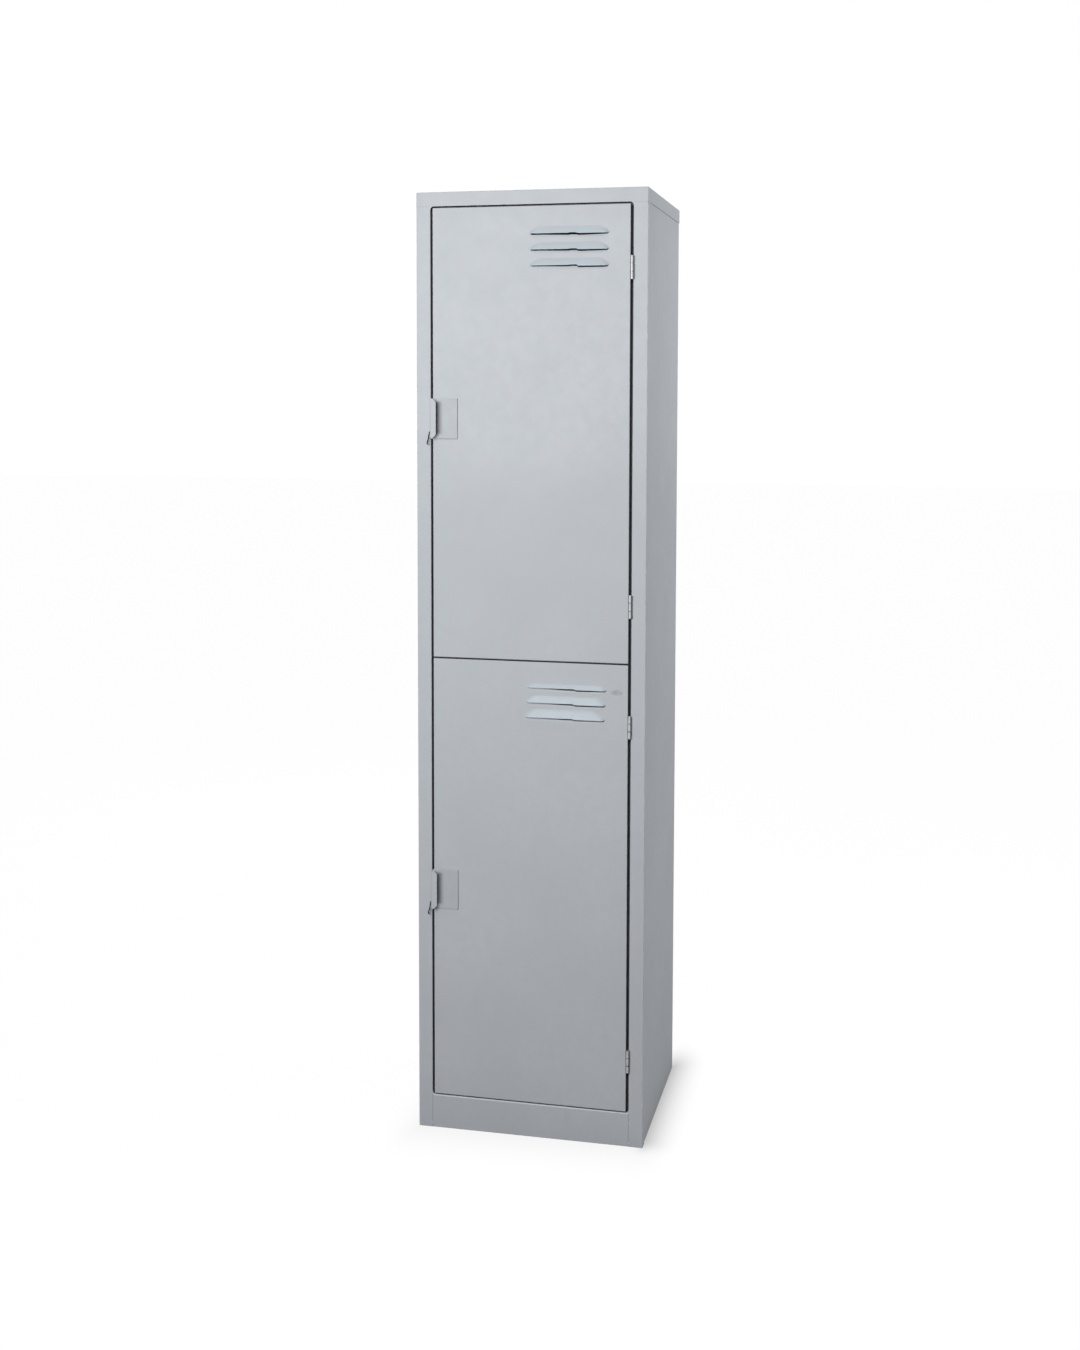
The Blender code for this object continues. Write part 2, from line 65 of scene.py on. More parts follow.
# Sheet metal
SHEET = 0.001
FOLD = 0.0013
SOFT_FOLD = 0.0015
STILE_RETURN = 0.020
JAMB_DEPTH = 0.0188
DOOR_LIP = 0.027
DOOR_FOLD = 0.0013
OIL_CANNING = 0.00035  # how far a large sheet wanders from flat
CORNER_FILLET = 0.0070
RELIEF_NOTCH = 0.0018
PLINTH_FOLD = 0.0024
CORNER_STEPS = 4
JAMB_TIGHTNESS = 0.7  # an inner fold's radius over FOLD
ROOF_SAG = 0.0005
ROOF_FADE = 0.08  # how far in from its edges the roof stays flat
SHELF_SAG = 0.0004
SHELF_FADE = 0.07
PANEL_FADE = (0.06, 0.1)  # across, then upwards
WELD_DEPTH = 0.0049
WELD_FOOT = 0.0004
BEHIND_STOP = FRONT + JAMB_DEPTH + SHEET + SEAM
WANDER_ACROSS = 0.16
WANDER_ALONG = 0.28
STANDING = Matrix.Rotation(math.pi / 2, 4, "X")  # turns a flat outline to face the front

# Meshes
MERGE_DISTANCE = 1e-6
BEVEL_ANGLE = math.radians(40.0)
SHARP_ANGLE = math.radians(35.0)
HOLE_SEGMENTS = 32

# Louvres
LOUVRE_SPAN = {"upper": (-0.0020, 0.1500), "lower": (-0.0094, 0.1500)}
# How far each hood's ends lie inside the span, from the top one down
HOOD_INSETS = {
    "upper": ((0.0, 0.0), (0.0006, 0.0), (0.0010, 0.0)),
    "lower": ((0.0049, 0.0006), (0.0022, 0.0019), (0.0, 0.0037)),
}
LOUVRE_PITCH = {"upper": 0.0298, "lower": 0.0288}
LOUVRE_RISE = {"upper": (0.0138, 0.0142, 0.0142), "lower": (0.0088, 0.0146, 0.0180)}
HOOD_SLOPE = 1.55  # length of a hood's tapered end over its rise
HOOD_CRISPNESS = {"upper": 1.15, "lower": 2.4}  # how sharply the painted light and shade on a hood sets in at its rim
LOUVRE_PROUD = 0.0045
LOUVRE_LIP = 0.0016
LOUVRE_DIP = 0.0007
LOUVRE_NOTCH = {"upper": 0.0008, "lower": 0.0003}
LOUVRE_STEP = {"upper": (0.0008, 0.0010, 0.0017), "lower": (0.0013, 0.0014, 0.0012)}
NOTCH_AT, STEP_AT = 0.50, 0.60  # where a slit's notch and step are, as shares of its length
HOOD_FOOT = 0.12  # a hood's height at its very end, as a share
HOOD_ENDS = (0.010, 0.008)  # length of its rounded left and right end
HOOD_HOLLOW = 0.20
DIP_REACH = 0.008  # how far below a slit the face is pressed in
LOUVRE_MARGIN = 0.004
BELOW_SLIT = (-0.0085, -0.006, -0.0042, -0.0028, -0.0016, -0.0008, 0.0)
HOOD_COLUMNS = 96
HOOD_ROWS = 12
# Height of each slit at its left end, in its middle and at its right end, from the top one down
SLIT_GAPS = {
    "upper": ((0.0020, 0.0032, 0.0014), (0.0018, 0.0028, 0.0018), (0.0012, 0.0022, 0.0022)),
    "lower": ((0.0007, 0.0034, 0.0022), (0.0009, 0.0032, 0.0025), (0.0010, 0.0028, 0.0018)),
}
SLIT_TOPS = {"upper": 1.7478, "lower": 0.8868}

# Handle
HANDLE_SHEET = 0.0013
HANDLE_BEND = 0.0018
LIP_WIDTH = 0.0124
LIP_TOP_DROP = 0.0076
PLATE_GAP = 0.0005
LIP_FOOT_DROP = 0.0095
LEG_FOOT_DROP = 0.0090
LIP_APEX = 0.32
HANDLE_ROWS = (0, 0.012, 0.04, 0.12, 0.25, 0.4, 0.5, 0.6, 0.75, 0.88, 0.96, 0.988, 1)  # shares of its height
HANDLE_EDGE = 0.00045
CLIP_HOLE = 0.0017  # its radius
CLIP_HOLE_OUT = 0.0072
CLIP_HOLE_UP = 0.0145
PADLOCK_HOLE = 0.003  # its radius
PADLOCK_HOLE_OUT = 0.0066  # how far its centre stands out of the front
STIFFENER_BRIM = 0.012
STIFFENER_BEND = 0.0016
CLIP_WIRE = 0.0011

# Hinges
KNUCKLE_RADIUS = 0.0035
KNUCKLE_SHARE = 0.0139
KNUCKLE_GAP = 0.0004
KNUCKLE_TRIM = 0.0003
LEAF_SHEET = 0.0012
KNUCKLE_WRAP = 310  # degrees that a leaf's end rolls round the pin
KNUCKLE_STEPS = 28

# Colours, linear
PAINT = (0.4676, 0.4935, 0.526)
# A darker, bluer copy of the paint as painted shade on the high hoods, and a lighter copy as painted light
# on the low hoods
HOOD_SHADED_PAINT = (0.442, 0.508, 0.550)
HOOD_LIT_PAINT = (0.482, 0.543, 0.590)
PAINT_SHEEN = 0.2
BARE_STEEL = (0.62, 0.62, 0.61)
HINGE_ZINC = (0.62, 0.63, 0.65)
WIRE_BLACK = (0.020, 0.021, 0.024)
RUBBER_BLACK = (0.022, 0.022, 0.023)
IVORY = (0.66, 0.65, 0.60)
CLOUD_TONES = (0.968, 1.020)

# Textures: noise scale, detail and roughness, and how it is stretched
CLOUDS = (5.0, 3.0)
MOTTLE = (70.0, 5.0, 0.6)
SCUFFS = (28.0, 6.0, 0.7, (1.0, 1.0, 0.35))
NIBS = (330.0, 2.0)
SMUDGE_GRAIN = (160.0,)
CHIP_EDGE = (900.0, 3.0)
GLOSS_PATCHES = (40.0, 4.0, 0.6)
ORANGE_PEEL = (620.0, 2.0)
RIPPLE = (55.0, 2.0)
ZINC_PATCHES = (120.0, 4.0, 0.6)
ZINC_STAINS = (480.0, 3.0, 0.7)
ZINC_GLOSS = (260.0, 3.0)
ZINC_GRAIN = (900.0, 3.0, 0.6)
DUST = (150.0, 5.0, 0.65)
HANDLING = (90.0, 3.0)

# Painted shade in the door gaps, metres
GAP_START = {"foot": 0.0028, "left": 0.0030, "right": 0.0012}  # how far behind the front it starts
GAP_MARGIN = 0.0022
GAP_SOFTNESS = 0.0003125
GAP_DEPTH = 0.020
HAIR = 0.0002  # softness of a crisp edge

# Painted shade
# Heights between which the paint is darkened as painted shade: low, high, how softly and how much
SHADED_BANDS = ((1.02, 1.31, 0.09, 0.10), (1.775, 1.90, 0.02, 0.06))

# Stage
CAMERA_PLACE = (0.7243, -3.2593, 1.4369)
CAMERA_TURNS = ((12.95, "Z"), (90 - 4.146, "X"), (0.113, "Z"))  # degrees
CAMERA_LENS = 44.27
CAMERA_SHIFT = -0.1148
# Each light's name, place, aim, size and power
LIGHTS = (
    ("key", (-0.42, -2.46, 1.79), (0.0, 0.0, 1.327), (1.4, 1.4), 60.6),
    ("overhead", (0.3, -0.6, 3.3), (0.0, -0.1, 0.6), (2.2, 2.2), 9.1),
    ("back", (-1.5, 2.7, 1.9), (0.0, 0.0, 0.95), (1.6, 1.6), 34.0),
    ("fill", (2.15, 0.75, 1.775), (0.1, 0.0, 1.0), (1.4, 1.6), 43.7),
)
WORLD_LIGHT = 0.08
FLOOR_HALF = 25.0
FLOOR_DROP = 0.0002
FLOOR_SHADE = 0.35  # how much light the floor throws back onto the cabinet
FLOOR_SEEN = 0.02  # how much the camera sees of the light on it
FLOOR_GLOW = 0.985
# Painted contact shadow on the floor round the cabinet's foot
CONTACT_REACH = 0.075
CONTACT_STRETCH = 0.5  # how much slower it fades towards the front and back
CONTACT_DEPTH = (0.08, 0.46)  # left and front, then right
CONTACT_CORNER = 0.050


def middle_of(node):
    low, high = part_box(node)
    return (low + high) / 2


# ---------------------------------------------------------------- materials


class NodeMaterial:
    """A node material with short calls for the nodes that the finishes share."""

    def __init__(self, name):
        self.material = bpy.data.materials.new(name)
        self.material.use_nodes = True
        self.tree = self.material.node_tree
        self.shader = self.tree.nodes["Principled BSDF"]
        self.place = self.tree.nodes.new("ShaderNodeTexCoord").outputs["Object"]

    def link(self, source, target):
        if isinstance(source, bpy.types.NodeSocket):
            self.tree.links.new(source, target)
        else:
            target.default_value = source

    def node(self, kind, *inputs, **settings):
        """A new shader node, with its settings and its first sockets."""
        made = self.tree.nodes.new(f"ShaderNode{kind}")
        for setting, value in settings.items():
            setattr(made, setting, value)
        for source, socket in zip(inputs, made.inputs):
            self.link(source, socket)
        return made

    def noise(self, scale, detail=3.0, roughness=0.5, stretch=None):
        node = self.node("TexNoise")
        node.inputs["Scale"].default_value = scale
        node.inputs["Detail"].default_value = detail
        node.inputs["Roughness"].default_value = roughness
        place = self.place
        if stretch:
            mapping = self.node("Mapping", place)
            mapping.inputs["Scale"].default_value = stretch
            place = mapping.outputs["Vector"]
        self.link(place, node.inputs["Vector"])
        return node.outputs[0]

    def remap(self, value, low, high, to_low=0.0, to_high=1.0):
        limits = (low, high, to_low, to_high)
        return self.node("MapRange", value, *limits, interpolation_type="SMOOTHSTEP").outputs["Result"]

    def math(self, operation, first, second):
        return self.node("Math", first, second, operation=operation).outputs[0]

    def mix(self, share, first, second):
        node = self.node("Mix", share, data_type="RGBA")
        for colour, socket in ((first, node.inputs[6]), (second, node.inputs[7])):
            self.link(colour if isinstance(colour, bpy.types.NodeSocket) else (*colour, 1.0), socket)
        return node.outputs[2]

    def attribute(self, name):
        return self.node("Attribute", attribute_name=name).outputs["Fac"]

    def axis(self, letter):
        return self.node("SeparateXYZ", self.place).outputs[letter]

    def within(self, value, low, high, soft):
        """1 between low and high, falling to 0 over soft at each end."""
        rising = self.remap(value, low - soft, low + soft)
        return self.math("MULTIPLY", rising, self.remap(value, high - soft, high + soft, 1.0, 0.0))

    def near(self, point, reach, squash=1.0):
        """1 at a point, falling to 0 at reach from it. The spot is squash times as wide as it is high."""
        offset = self.node("VectorMath", self.place, point, operation="SUBTRACT").outputs[0]
        shaped = self.node("VectorMath", offset, (1.0, 1.0, squash), operation="MULTIPLY").outputs[0]
        length = self.node("VectorMath", shaped, operation="LENGTH").outputs["Value"]
        return self.remap(length, reach * 0.45, reach, 1.0, 0.0)

    def all_of(self, *masks):
        product = masks[0]
        for mask in masks[1:]:
            product = self.math("MULTIPLY", product, mask)
        return product

    def any_of(self, *masks):
        largest = masks[0]
        for mask in masks[1:]:
            largest = self.math("MAXIMUM", largest, mask)
        return largest

    def layered(self, colour, base, layers):
        """The colour with layers over it: each a mask, how strongly it shows and its tone of the base."""
        for mask, strength, tone in layers:
            colour = self.mix(self.math("MULTIPLY", mask, strength), colour, scaled(base, tone))
        return colour

    def bump(self, height, distance, strength, below=None):
        node = self.node("Bump")
        node.inputs["Distance"].default_value = distance
        node.inputs["Strength"].default_value = strength
        self.link(height, node.inputs["Height"])
        if below is not None:
            self.link(below, node.inputs["Normal"])
        return node.outputs["Normal"]

    def finish(self, colour, roughness, normal, metallic=0.0):
        self.link(colour, self.shader.inputs["Base Color"])
        self.link(roughness, self.shader.inputs["Roughness"])
        self.link(normal, self.shader.inputs["Normal"])
        self.shader.inputs["Metallic"].default_value = metallic
        return self.material


def scaled(colour, factor):
    return tuple(channel * factor for channel in colour)


def gap_shade(made):
    """1 on the metal inside the narrow gaps round the doors, which is painted dark as the shade in them."""
    across = made.math("ABSOLUTE", made.axis("X"), 0.0)
    up = made.axis("Z")
    (upper_low, upper_high), (lower_low, lower_high) = (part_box(f"door_pan_{tier}") for tier in TIERS)
    levels = ((PLINTH_HIGH.z, lower_low.z), (lower_high.z, upper_low.z), (upper_high.z, CAP_UNDERSIDE))
    bands = [made.within(up, low - GAP_MARGIN, high + GAP_MARGIN, 0.0004) for low, high in levels]
    beside = made.within(across, JAMB - 0.0072, JAMB + 0.0040, 0.0005)
    foot = PLINTH_HIGH.z + 0.0040
    start = made.remap(up, foot, foot + 0.0004, GAP_START["foot"], GAP_START["right"])
    start = made.any_of(start, made.remap(made.axis("X"), -0.19, -0.18, GAP_START["left"], 0.0))
    depth = made.math("SUBTRACT", made.axis("Y"), FRONT)
    return made.all_of(
        made.any_of(beside, *bands),
        made.remap(across, SIDE - 0.0040, SIDE - 0.0030, 1.0, 0.0),
        made.remap(up, CAP_UNDERSIDE + GAP_MARGIN, CAP_UNDERSIDE + GAP_MARGIN + 0.0008, 1.0, 0.0),
        made.remap(made.math("SUBTRACT", depth, start), -GAP_SOFTNESS, GAP_SOFTNESS),
        made.remap(depth, GAP_DEPTH - 0.0008, GAP_DEPTH + 0.0008, 1.0, 0.0),
    )


def shadow_under_lips(made):
    """1 on the metal under each handle's lip, painted dark as the lip's shadow. It fades out beside the lip.
    """
    spans = []
    for tier in TIERS:
        low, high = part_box(f"handle_{tier}")
        spans.append(made.within(made.axis("Z"), low.z + 0.009, high.z - 0.006, 0.004))
    across, lip_edge = made.axis("X"), low.x + LIP_WIDTH
    return made.all_of(
        made.any_of(*spans),
        made.remap(across, low.x + 0.0011, low.x + 0.0017),
        made.remap(across, lip_edge + 0.0015, lip_edge + 0.0125, 1.0, 0.0),
        made.within(made.axis("Y"), low.y + 0.0020, high.y + 0.0006, 0.0006),
    )


def plate_edge_shadows(made):
    """1 in the thin painted shadow along the right and lower edge of each handle's plate."""
    across, up = made.axis("X"), made.axis("Z")
    lines = []
    for tier in TIERS:
        low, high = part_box(f"handle_{tier}")
        outer = made.all_of(
            made.within(across, low.x + LIP_WIDTH, high.x + 0.0008, HAIR),
            made.within(up, low.z - 0.0011, high.z + 0.0003, HAIR),
        )
        inner = made.all_of(
            made.remap(across, high.x - HAIR, high.x, 1.0, 0.0), made.remap(up, low.z, low.z + HAIR)
        )
        lines.append(made.math("SUBTRACT", outer, made.math("MINIMUM", outer, inner)))
    on_face = made.within(made.axis("Y"), FRONT - 0.0030, FRONT + 0.0006, HAIR)
    return made.all_of(made.any_of(*lines), on_face)


def plinth_seam_shade(made):
    """1 in the painted shade of the upright seams at the plinth's ends."""
    return made.all_of(
        made.within(made.math("ABSOLUTE", made.axis("X"), 0.0), JAMB - 0.0009, JAMB + 0.0003, HAIR),
        made.remap(made.axis("Y"), FRONT + 0.0010, FRONT + 0.0014, 1.0, 0.0),
        made.remap(made.axis("Z"), PLINTH_HIGH.z - 0.0004, PLINTH_HIGH.z, 1.0, 0.0),
    )


def plinth_edge_highlight(made):
    """1 along the plinth's upper front edge, a painted highlight where the fold catches the light."""
    return made.all_of(
        made.remap(made.math("ABSOLUTE", made.axis("X"), 0.0), JAMB - 0.0010, JAMB - 0.0004, 1.0, 0.0),
        made.within(made.axis("Z"), PLINTH_HIGH.z - 0.0014, PLINTH_HIGH.z + 0.0006, 0.0003),
        made.remap(made.axis("Y"), FRONT + 0.0018, FRONT + 0.0022, 1.0, 0.0),
    )


def plate_face_shade(made):
    """1 on the face of each handle's plate, which is painted darker as the shade that the handle's lip casts
    on it.
    """
    faces = []
    for tier in TIERS:
        low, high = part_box(f"handle_{tier}")
        across = made.within(made.axis("X"), low.x + LIP_WIDTH, high.x, HAIR)
        faces.append(made.all_of(across, made.within(made.axis("Z"), low.z, high.z, HAIR)))
    proud = made.remap(made.axis("Y"), FRONT - 0.0003, FRONT - 0.0001, 1.0, 0.0)
    return made.all_of(made.any_of(*faces), proud)


def sprayed_paint(name, chips=(), smudges=()):
    """Satin enamel on sheet steel: faint clouds, dust nibs, orange peel, scuffs low down and a few chips,
    with painted light and shade on the hoods, gaps, handles, plinth and in bands of height.
    """
    made = NodeMaterial(name)
    up = made.axis("Z")
    clouds = made.remap(made.noise(*CLOUDS), 0.3, 0.7)
    colour = made.mix(clouds, scaled(PAINT, CLOUD_TONES[0]), scaled(PAINT, CLOUD_TONES[1]))
    # Painted shade on each handle's plate and in bands of height, then random mottle
    mottle_and_painted_shade = [(plate_face_shade(made), 0.2, 0.5)]
    mottle_and_painted_shade += [(made.within(up, low, high, soft), strength, 0.5) for low, high, soft, strength in SHADED_BANDS]
    mottle_and_painted_shade.append((made.remap(made.noise(*MOTTLE), 0.35, 0.68), 0.5, 0.955))
    colour = made.layered(colour, PAINT, mottle_and_painted_shade)
    # Painted light and shade on the hoods: the lit copy of the paint low down, the shaded copy high up
    hood = made.mix(made.remap(up, 1.0, 1.6), HOOD_LIT_PAINT, HOOD_SHADED_PAINT)
    colour = made.mix(made.attribute("pressed"), colour, hood)
    scuffs = made.all_of(made.remap(made.noise(*SCUFFS), 0.56, 0.72), made.remap(up, 0.02, 0.55, 0.16, 0.05))
    dirt_and_painted_light = [(scuffs, 1.0, 0.72), (made.remap(made.noise(*NIBS), 0.765, 0.80), 0.45, 0.45)]
    for point, reach in smudges:
        patchy = made.remap(made.noise(*SMUDGE_GRAIN), 0.1, 0.6)
        dirt_and_painted_light.append((made.all_of(made.near(point, reach, 2.2), patchy), 0.50, 0.5))
    # Painted shade in the door gaps, under and beside each handle's lip, along each plate's edges and in the
    # plinth's seams
    dirt_and_painted_light += [(gap_shade(made), 0.9, 0.35), (shadow_under_lips(made), 0.9, 0.35)]
    dirt_and_painted_light += [(plate_edge_shadows(made), 0.45, 0.30), (plinth_seam_shade(made), 0.40, 0.30)]
    # A painted highlight along the plinth's top fold
    dirt_and_painted_light.append((plinth_edge_highlight(made), 0.55, 1.70))
    colour = made.layered(colour, PAINT, dirt_and_painted_light)
    ragged = [made.remap(made.noise(*CHIP_EDGE), 0.38, 0.52) for _ in chips]
    bare = [made.all_of(made.near(*chip), edge) for chip, edge in zip(chips, ragged)]
    if bare:
        colour = made.mix(made.any_of(*bare), colour, BARE_STEEL)
    made.shader.inputs["Specular IOR Level"].default_value = PAINT_SHEEN
    gloss = made.remap(made.noise(*GLOSS_PATCHES), 0.3, 0.7, 0.40, 0.50)
    peel = made.bump(made.noise(*ORANGE_PEEL), 0.00006, 0.35)
    ripple = made.bump(made.noise(*RIPPLE), 0.0004, 0.10, peel)
    return made.finish(colour, gloss, ripple)


def plated_steel(name, colour, roughness, brushed=(1.0, 1.0, 1.0), metallic=1.0, lit_strip=None, joint_shade_bands=()):
    """Zinc-plated or bare steel with a faint grain, dull patches and stains. With a lit strip, the metal
    outside it is painted dark as the shaded sides of a barrel; the joint bands are painted shade.
    """
    made = NodeMaterial(name)
    patches = made.remap(made.noise(*ZINC_PATCHES), 0.3, 0.7)
    shade = made.mix(patches, scaled(colour, 0.86), scaled(colour, 1.08))
    dirt_and_painted_light = [(made.remap(made.noise(*ZINC_STAINS), 0.60, 0.72), 0.5, 0.55)]
    # Painted shade on the barrel's sides: outside the lit strip the metal is darkened
    if lit_strip:
        in_lit_strip = made.within(made.axis("X"), *lit_strip, 0.0006)
        dirt_and_painted_light.append((made.math("SUBTRACT", 1.0, in_lit_strip), 1.0, 0.30))
    # Painted shade in the gaps between knuckles
    dirt_and_painted_light += [(made.within(made.axis("Z"), low, high, 0.0003), 0.85, 0.08) for low, high in joint_shade_bands]
    shade = made.layered(shade, colour, dirt_and_painted_light)
    dull = made.remap(made.noise(*ZINC_GLOSS), 0.3, 0.7, roughness - 0.06, roughness + 0.10)
    grain = made.bump(made.noise(*ZINC_GRAIN, brushed), 0.00005, 0.35)
    return made.finish(shade, dull, grain, metallic)


def moulded(name, colour, roughness, grain_scale):
    """Moulded plastic or rubber with a fine grain and slight dusting."""
    made = NodeMaterial(name)
    dust = made.remap(made.noise(*DUST), 0.45, 0.75)
    dusty = tuple(channel * 0.7 + 0.09 for channel in colour)
    shade = made.mix(made.math("MULTIPLY", dust, 0.35), colour, dusty)
    worn = made.remap(made.noise(*HANDLING), 0.3, 0.7, roughness - 0.08, roughness + 0.08)
    grain = made.bump(made.noise(grain_scale, 2.0), 0.00008, 0.4)
    return made.finish(shade, worn, grain)


def make_finishes():
    foot_chips = [
        (Vector((across, FRONT, up)), reach)
        for across, up, reach in (
            (-SIDE + 0.0010, 0.0040, 0.0030),
            (-JAMB - 0.0006, 0.0092, 0.0024),
            (JAMB + 0.0006, 0.0072, 0.0024),
            (JAMB + 0.0010, 0.0465, 0.0020),
            (JAMB - 0.0290, 0.0012, 0.0030),
        )
    ]
    # The lit strip down each hinge barrel, outside which the sides are painted dark as shade
    pin_x = middle_of("hinge_pin_upper_top").x
    lit_strip = (pin_x - KNUCKLE_RADIUS * 0.45, pin_x + KNUCKLE_RADIUS * 0.62)
    # Bands of painted shade at the gaps between knuckles
    joint_shade_bands = []
    for label in HINGE_LABELS:
        low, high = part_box(f"hinge_frame_leaf_{label}")
        for level in (low.z + KNUCKLE_SHARE, high.z - KNUCKLE_SHARE):
            joint_shade_bands.append((level - 0.0008, level + 0.0008))
    smudge = [(Vector((0.1690, FRONT, 0.8835)), 0.0150)]
    brushed = (1.0, 1.0, 0.2)
    return {
        "cabinet_paint": sprayed_paint("cabinet_enamel", foot_chips),
        "door_paint": sprayed_paint("door_enamel", smudges=smudge),
        "hinge_paint": plated_steel("hinge_zinc", HINGE_ZINC, 0.46, brushed, 0.20, lit_strip, joint_shade_bands),
        "bright_steel": plated_steel("bright_zinc", BARE_STEEL, 0.30, (1.0, 1.0, 0.15)),
        "dark_wire": plated_steel("blackened_wire", WIRE_BLACK, 0.55),
        "rubber": moulded("black_rubber", RUBBER_BLACK, 0.78, 1200.0),
        "magnet_case": moulded("ivory_plastic", IVORY, 0.46, 1500.0),
    }


FINISHES = make_finishes()


# ---------------------------------------------------------------- mesh helpers


def smooth(share):
    share = min(max(share, 0.0), 1.0)
    return share * share * (3.0 - 2.0 * share)


def spread(start, end, count):
    """count + 1 values from start to end."""
    return [start + (end - start) * step / count for step in range(count + 1)]


def round_point(radius, angle):
    return radius * Vector((math.cos(angle), math.sin(angle)))


def bridge(bm, lower, upper):
    """Faces between two rows of vertices."""
    for i in range(len(lower) - 1):
        bm.faces.new((lower[i], lower[i + 1], upper[i + 1], upper[i]))


def upright(u, v, w):
    return Vector((u, v, w))


def crosswise(u, v, w):
    return Vector((w, u, v))


def rounded(outline, radii, steps=5):
    """The outline with each inner corner turned into an arc. A corner with radius 0 stays."""
    if not hasattr(radii, "__len__"):
        radii = [radii] * (len(outline) - 2)
    corners = [Vector(point) for point in outline]
    path = [corners[0]]
    for before, corner, after, radius in zip(corners, corners[1:], corners[2:], radii):
        if not radius:
            path.append(corner)
            continue
        back, ahead = (before - corner).normalized(), (after - corner).normalized()
        half = back.angle(ahead) / 2
        centre = corner + (back + ahead).normalized() * radius / math.sin(half)
        start = corner + back * radius / math.tan(half) - centre
        end = corner + ahead * radius / math.tan(half) - centre
        first = math.atan2(start.y, start.x)
        turn = math.remainder(math.atan2(end.y, end.x) - first, math.tau)
        path += [centre + round_point(radius, first + turn * step / steps) for step in range(steps + 1)]
    path.append(corners[-1])
    return path


def mesh_object(name, bm):
    mesh = bpy.data.meshes.new(name)
    bm.to_mesh(mesh)
    bm.free()
    made = bpy.data.objects.new(name, mesh)
    bpy.context.scene.collection.objects.link(made)
    return made


def thicken(made, thickness, offset=-1.0):
    modifier = made.modifiers.new("sheet", "SOLIDIFY")
    modifier.thickness = thickness
    modifier.offset = offset
    modifier.use_even_offset = True


def soften(made, width, segments=2):
    modifier = made.modifiers.new("edge", "BEVEL")
    modifier.width = width
    modifier.segments = segments
    modifier.limit_method = "ANGLE"
    modifier.angle_limit = BEVEL_ANGLE
    modifier.use_clamp_overlap = True


def cut(made, *tools):
    for tool in tools:
        tool.hide_render = True
        modifier = made.modifiers.new(tool.name, "BOOLEAN")
        modifier.operation = "DIFFERENCE"
        modifier.solver = "EXACT"
        modifier.object = tool


def settle(made, tools=()):
    """Applies the modifiers, drops the cutters and shades the mesh smooth with true flats."""
    modifier = made.modifiers.new("flats", "WEIGHTED_NORMAL")
    modifier.keep_sharp = True
    made.data.shade_smooth()
    made.data.set_sharp_from_angle(angle=SHARP_ANGLE)
    bpy.context.view_layer.update()
    graph = bpy.context.evaluated_depsgraph_get()
    mesh = bpy.data.meshes.new_from_object(made.evaluated_get(graph), depsgraph=graph)
    old = made.data
    made.modifiers.clear()
    made.data = mesh
    mesh.name = made.name
    bpy.data.meshes.remove(old)
    for tool in tools:
        bpy.data.objects.remove(tool, do_unlink=True)
    return made


def dress(made, body, slot, *nodes, tools=()):
    """Finishes a piece, gives it the material of its slot, sets it on its body and hides the CAD nodes that
    it stands for.
    """
    settle(made, tools)
    made.data.materials.clear()
    made.data.materials.append(FINISHES[slot])
    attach(made, body)
    if nodes:
        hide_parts(*nodes)


def bent_sheet(name, path, stations, place, thickness=SHEET, offset=-1.0, skip=None):
    """A sheet that follows path and runs through the stations, with the metal on the path's left."""
    bm = bmesh.new()
    rows = [[bm.verts.new(place(p.x, p.y, w)) for p in path] for w in stations]
    for j in range(len(stations) - 1):
        for i in range(len(path) - 1):
            middle = (path[i] + path[i + 1]) / 2
            if skip and skip(middle, (stations[j] + stations[j + 1]) / 2):
                continue
            bm.faces.new((rows[j][i], rows[j][i + 1], rows[j + 1][i + 1], rows[j + 1][i]))
    loose = [v for v in bm.verts if not v.link_faces]
    bmesh.ops.delete(bm, geom=loose, context="VERTS")
    made = mesh_object(name, bm)
    thicken(made, thickness, offset)
    return made


def solid_block(name, low, high):
    low, high = Vector(low), Vector(high)
    bm = bmesh.new()
    bmesh.ops.create_cube(bm, size=1.0)
    bmesh.ops.scale(bm, vec=high - low, verts=bm.verts)
    bmesh.ops.translate(bm, vec=(low + high) / 2, verts=bm.verts)
    return mesh_object(name, bm)


def turned(name, profile, centre, axis, segments=32):
    """A solid of revolution. The profile is (radius, distance along the axis) from one pole to the other."""
    lay = math.pi / 2
    turn = {"X": Matrix.Rotation(lay, 4, "Y"), "Y": Matrix.Rotation(-lay, 4, "X"), "Z": Matrix()}
    bm = bmesh.new()
    rings = []
    for radius, along in profile:
        count = segments if radius > 0 else 1
        spots = [round_point(radius, math.tau * k / segments) for k in range(count)]
        rings.append([bm.verts.new((*spot, along)) for spot in spots])
    for lower, upper in zip(rings, rings[1:]):
        for k in range(segments):
            after = k + 1
            corners = [
                lower[k % len(lower)],
                lower[after % len(lower)],
                upper[after % len(upper)],
                upper[k % len(upper)],
            ]
            bm.faces.new(list(dict.fromkeys(corners)))
    bmesh.ops.transform(bm, matrix=Matrix.Translation(centre) @ turn[axis], verts=bm.verts)
    bmesh.ops.recalc_face_normals(bm, faces=bm.faces)
    return mesh_object(name, bm)


def round_cutter(name, centre, radius, length, axis):
    half = length / 2
    return turned(name, [(0, -half), (radius, -half), (radius, half), (0, half)], centre, axis, 36)


def domed(radius, height, steps=6, base=0.0):
    """The profile of a dome that rises from base."""
    quarter = [math.pi / 2 * k / steps for k in range(steps)]
    return [(radius * math.cos(a), base + height * math.sin(a)) for a in quarter] + [(0.0, base + height)]


def joined(name, pieces):
    """One object from several meshes that don't touch."""
    bm = bmesh.new()
    for piece in pieces:
        piece.data.transform(piece.matrix_world)
        bm.from_mesh(piece.data)
    for piece in pieces:
        bpy.data.objects.remove(piece, do_unlink=True)
    return mesh_object(name, bm)


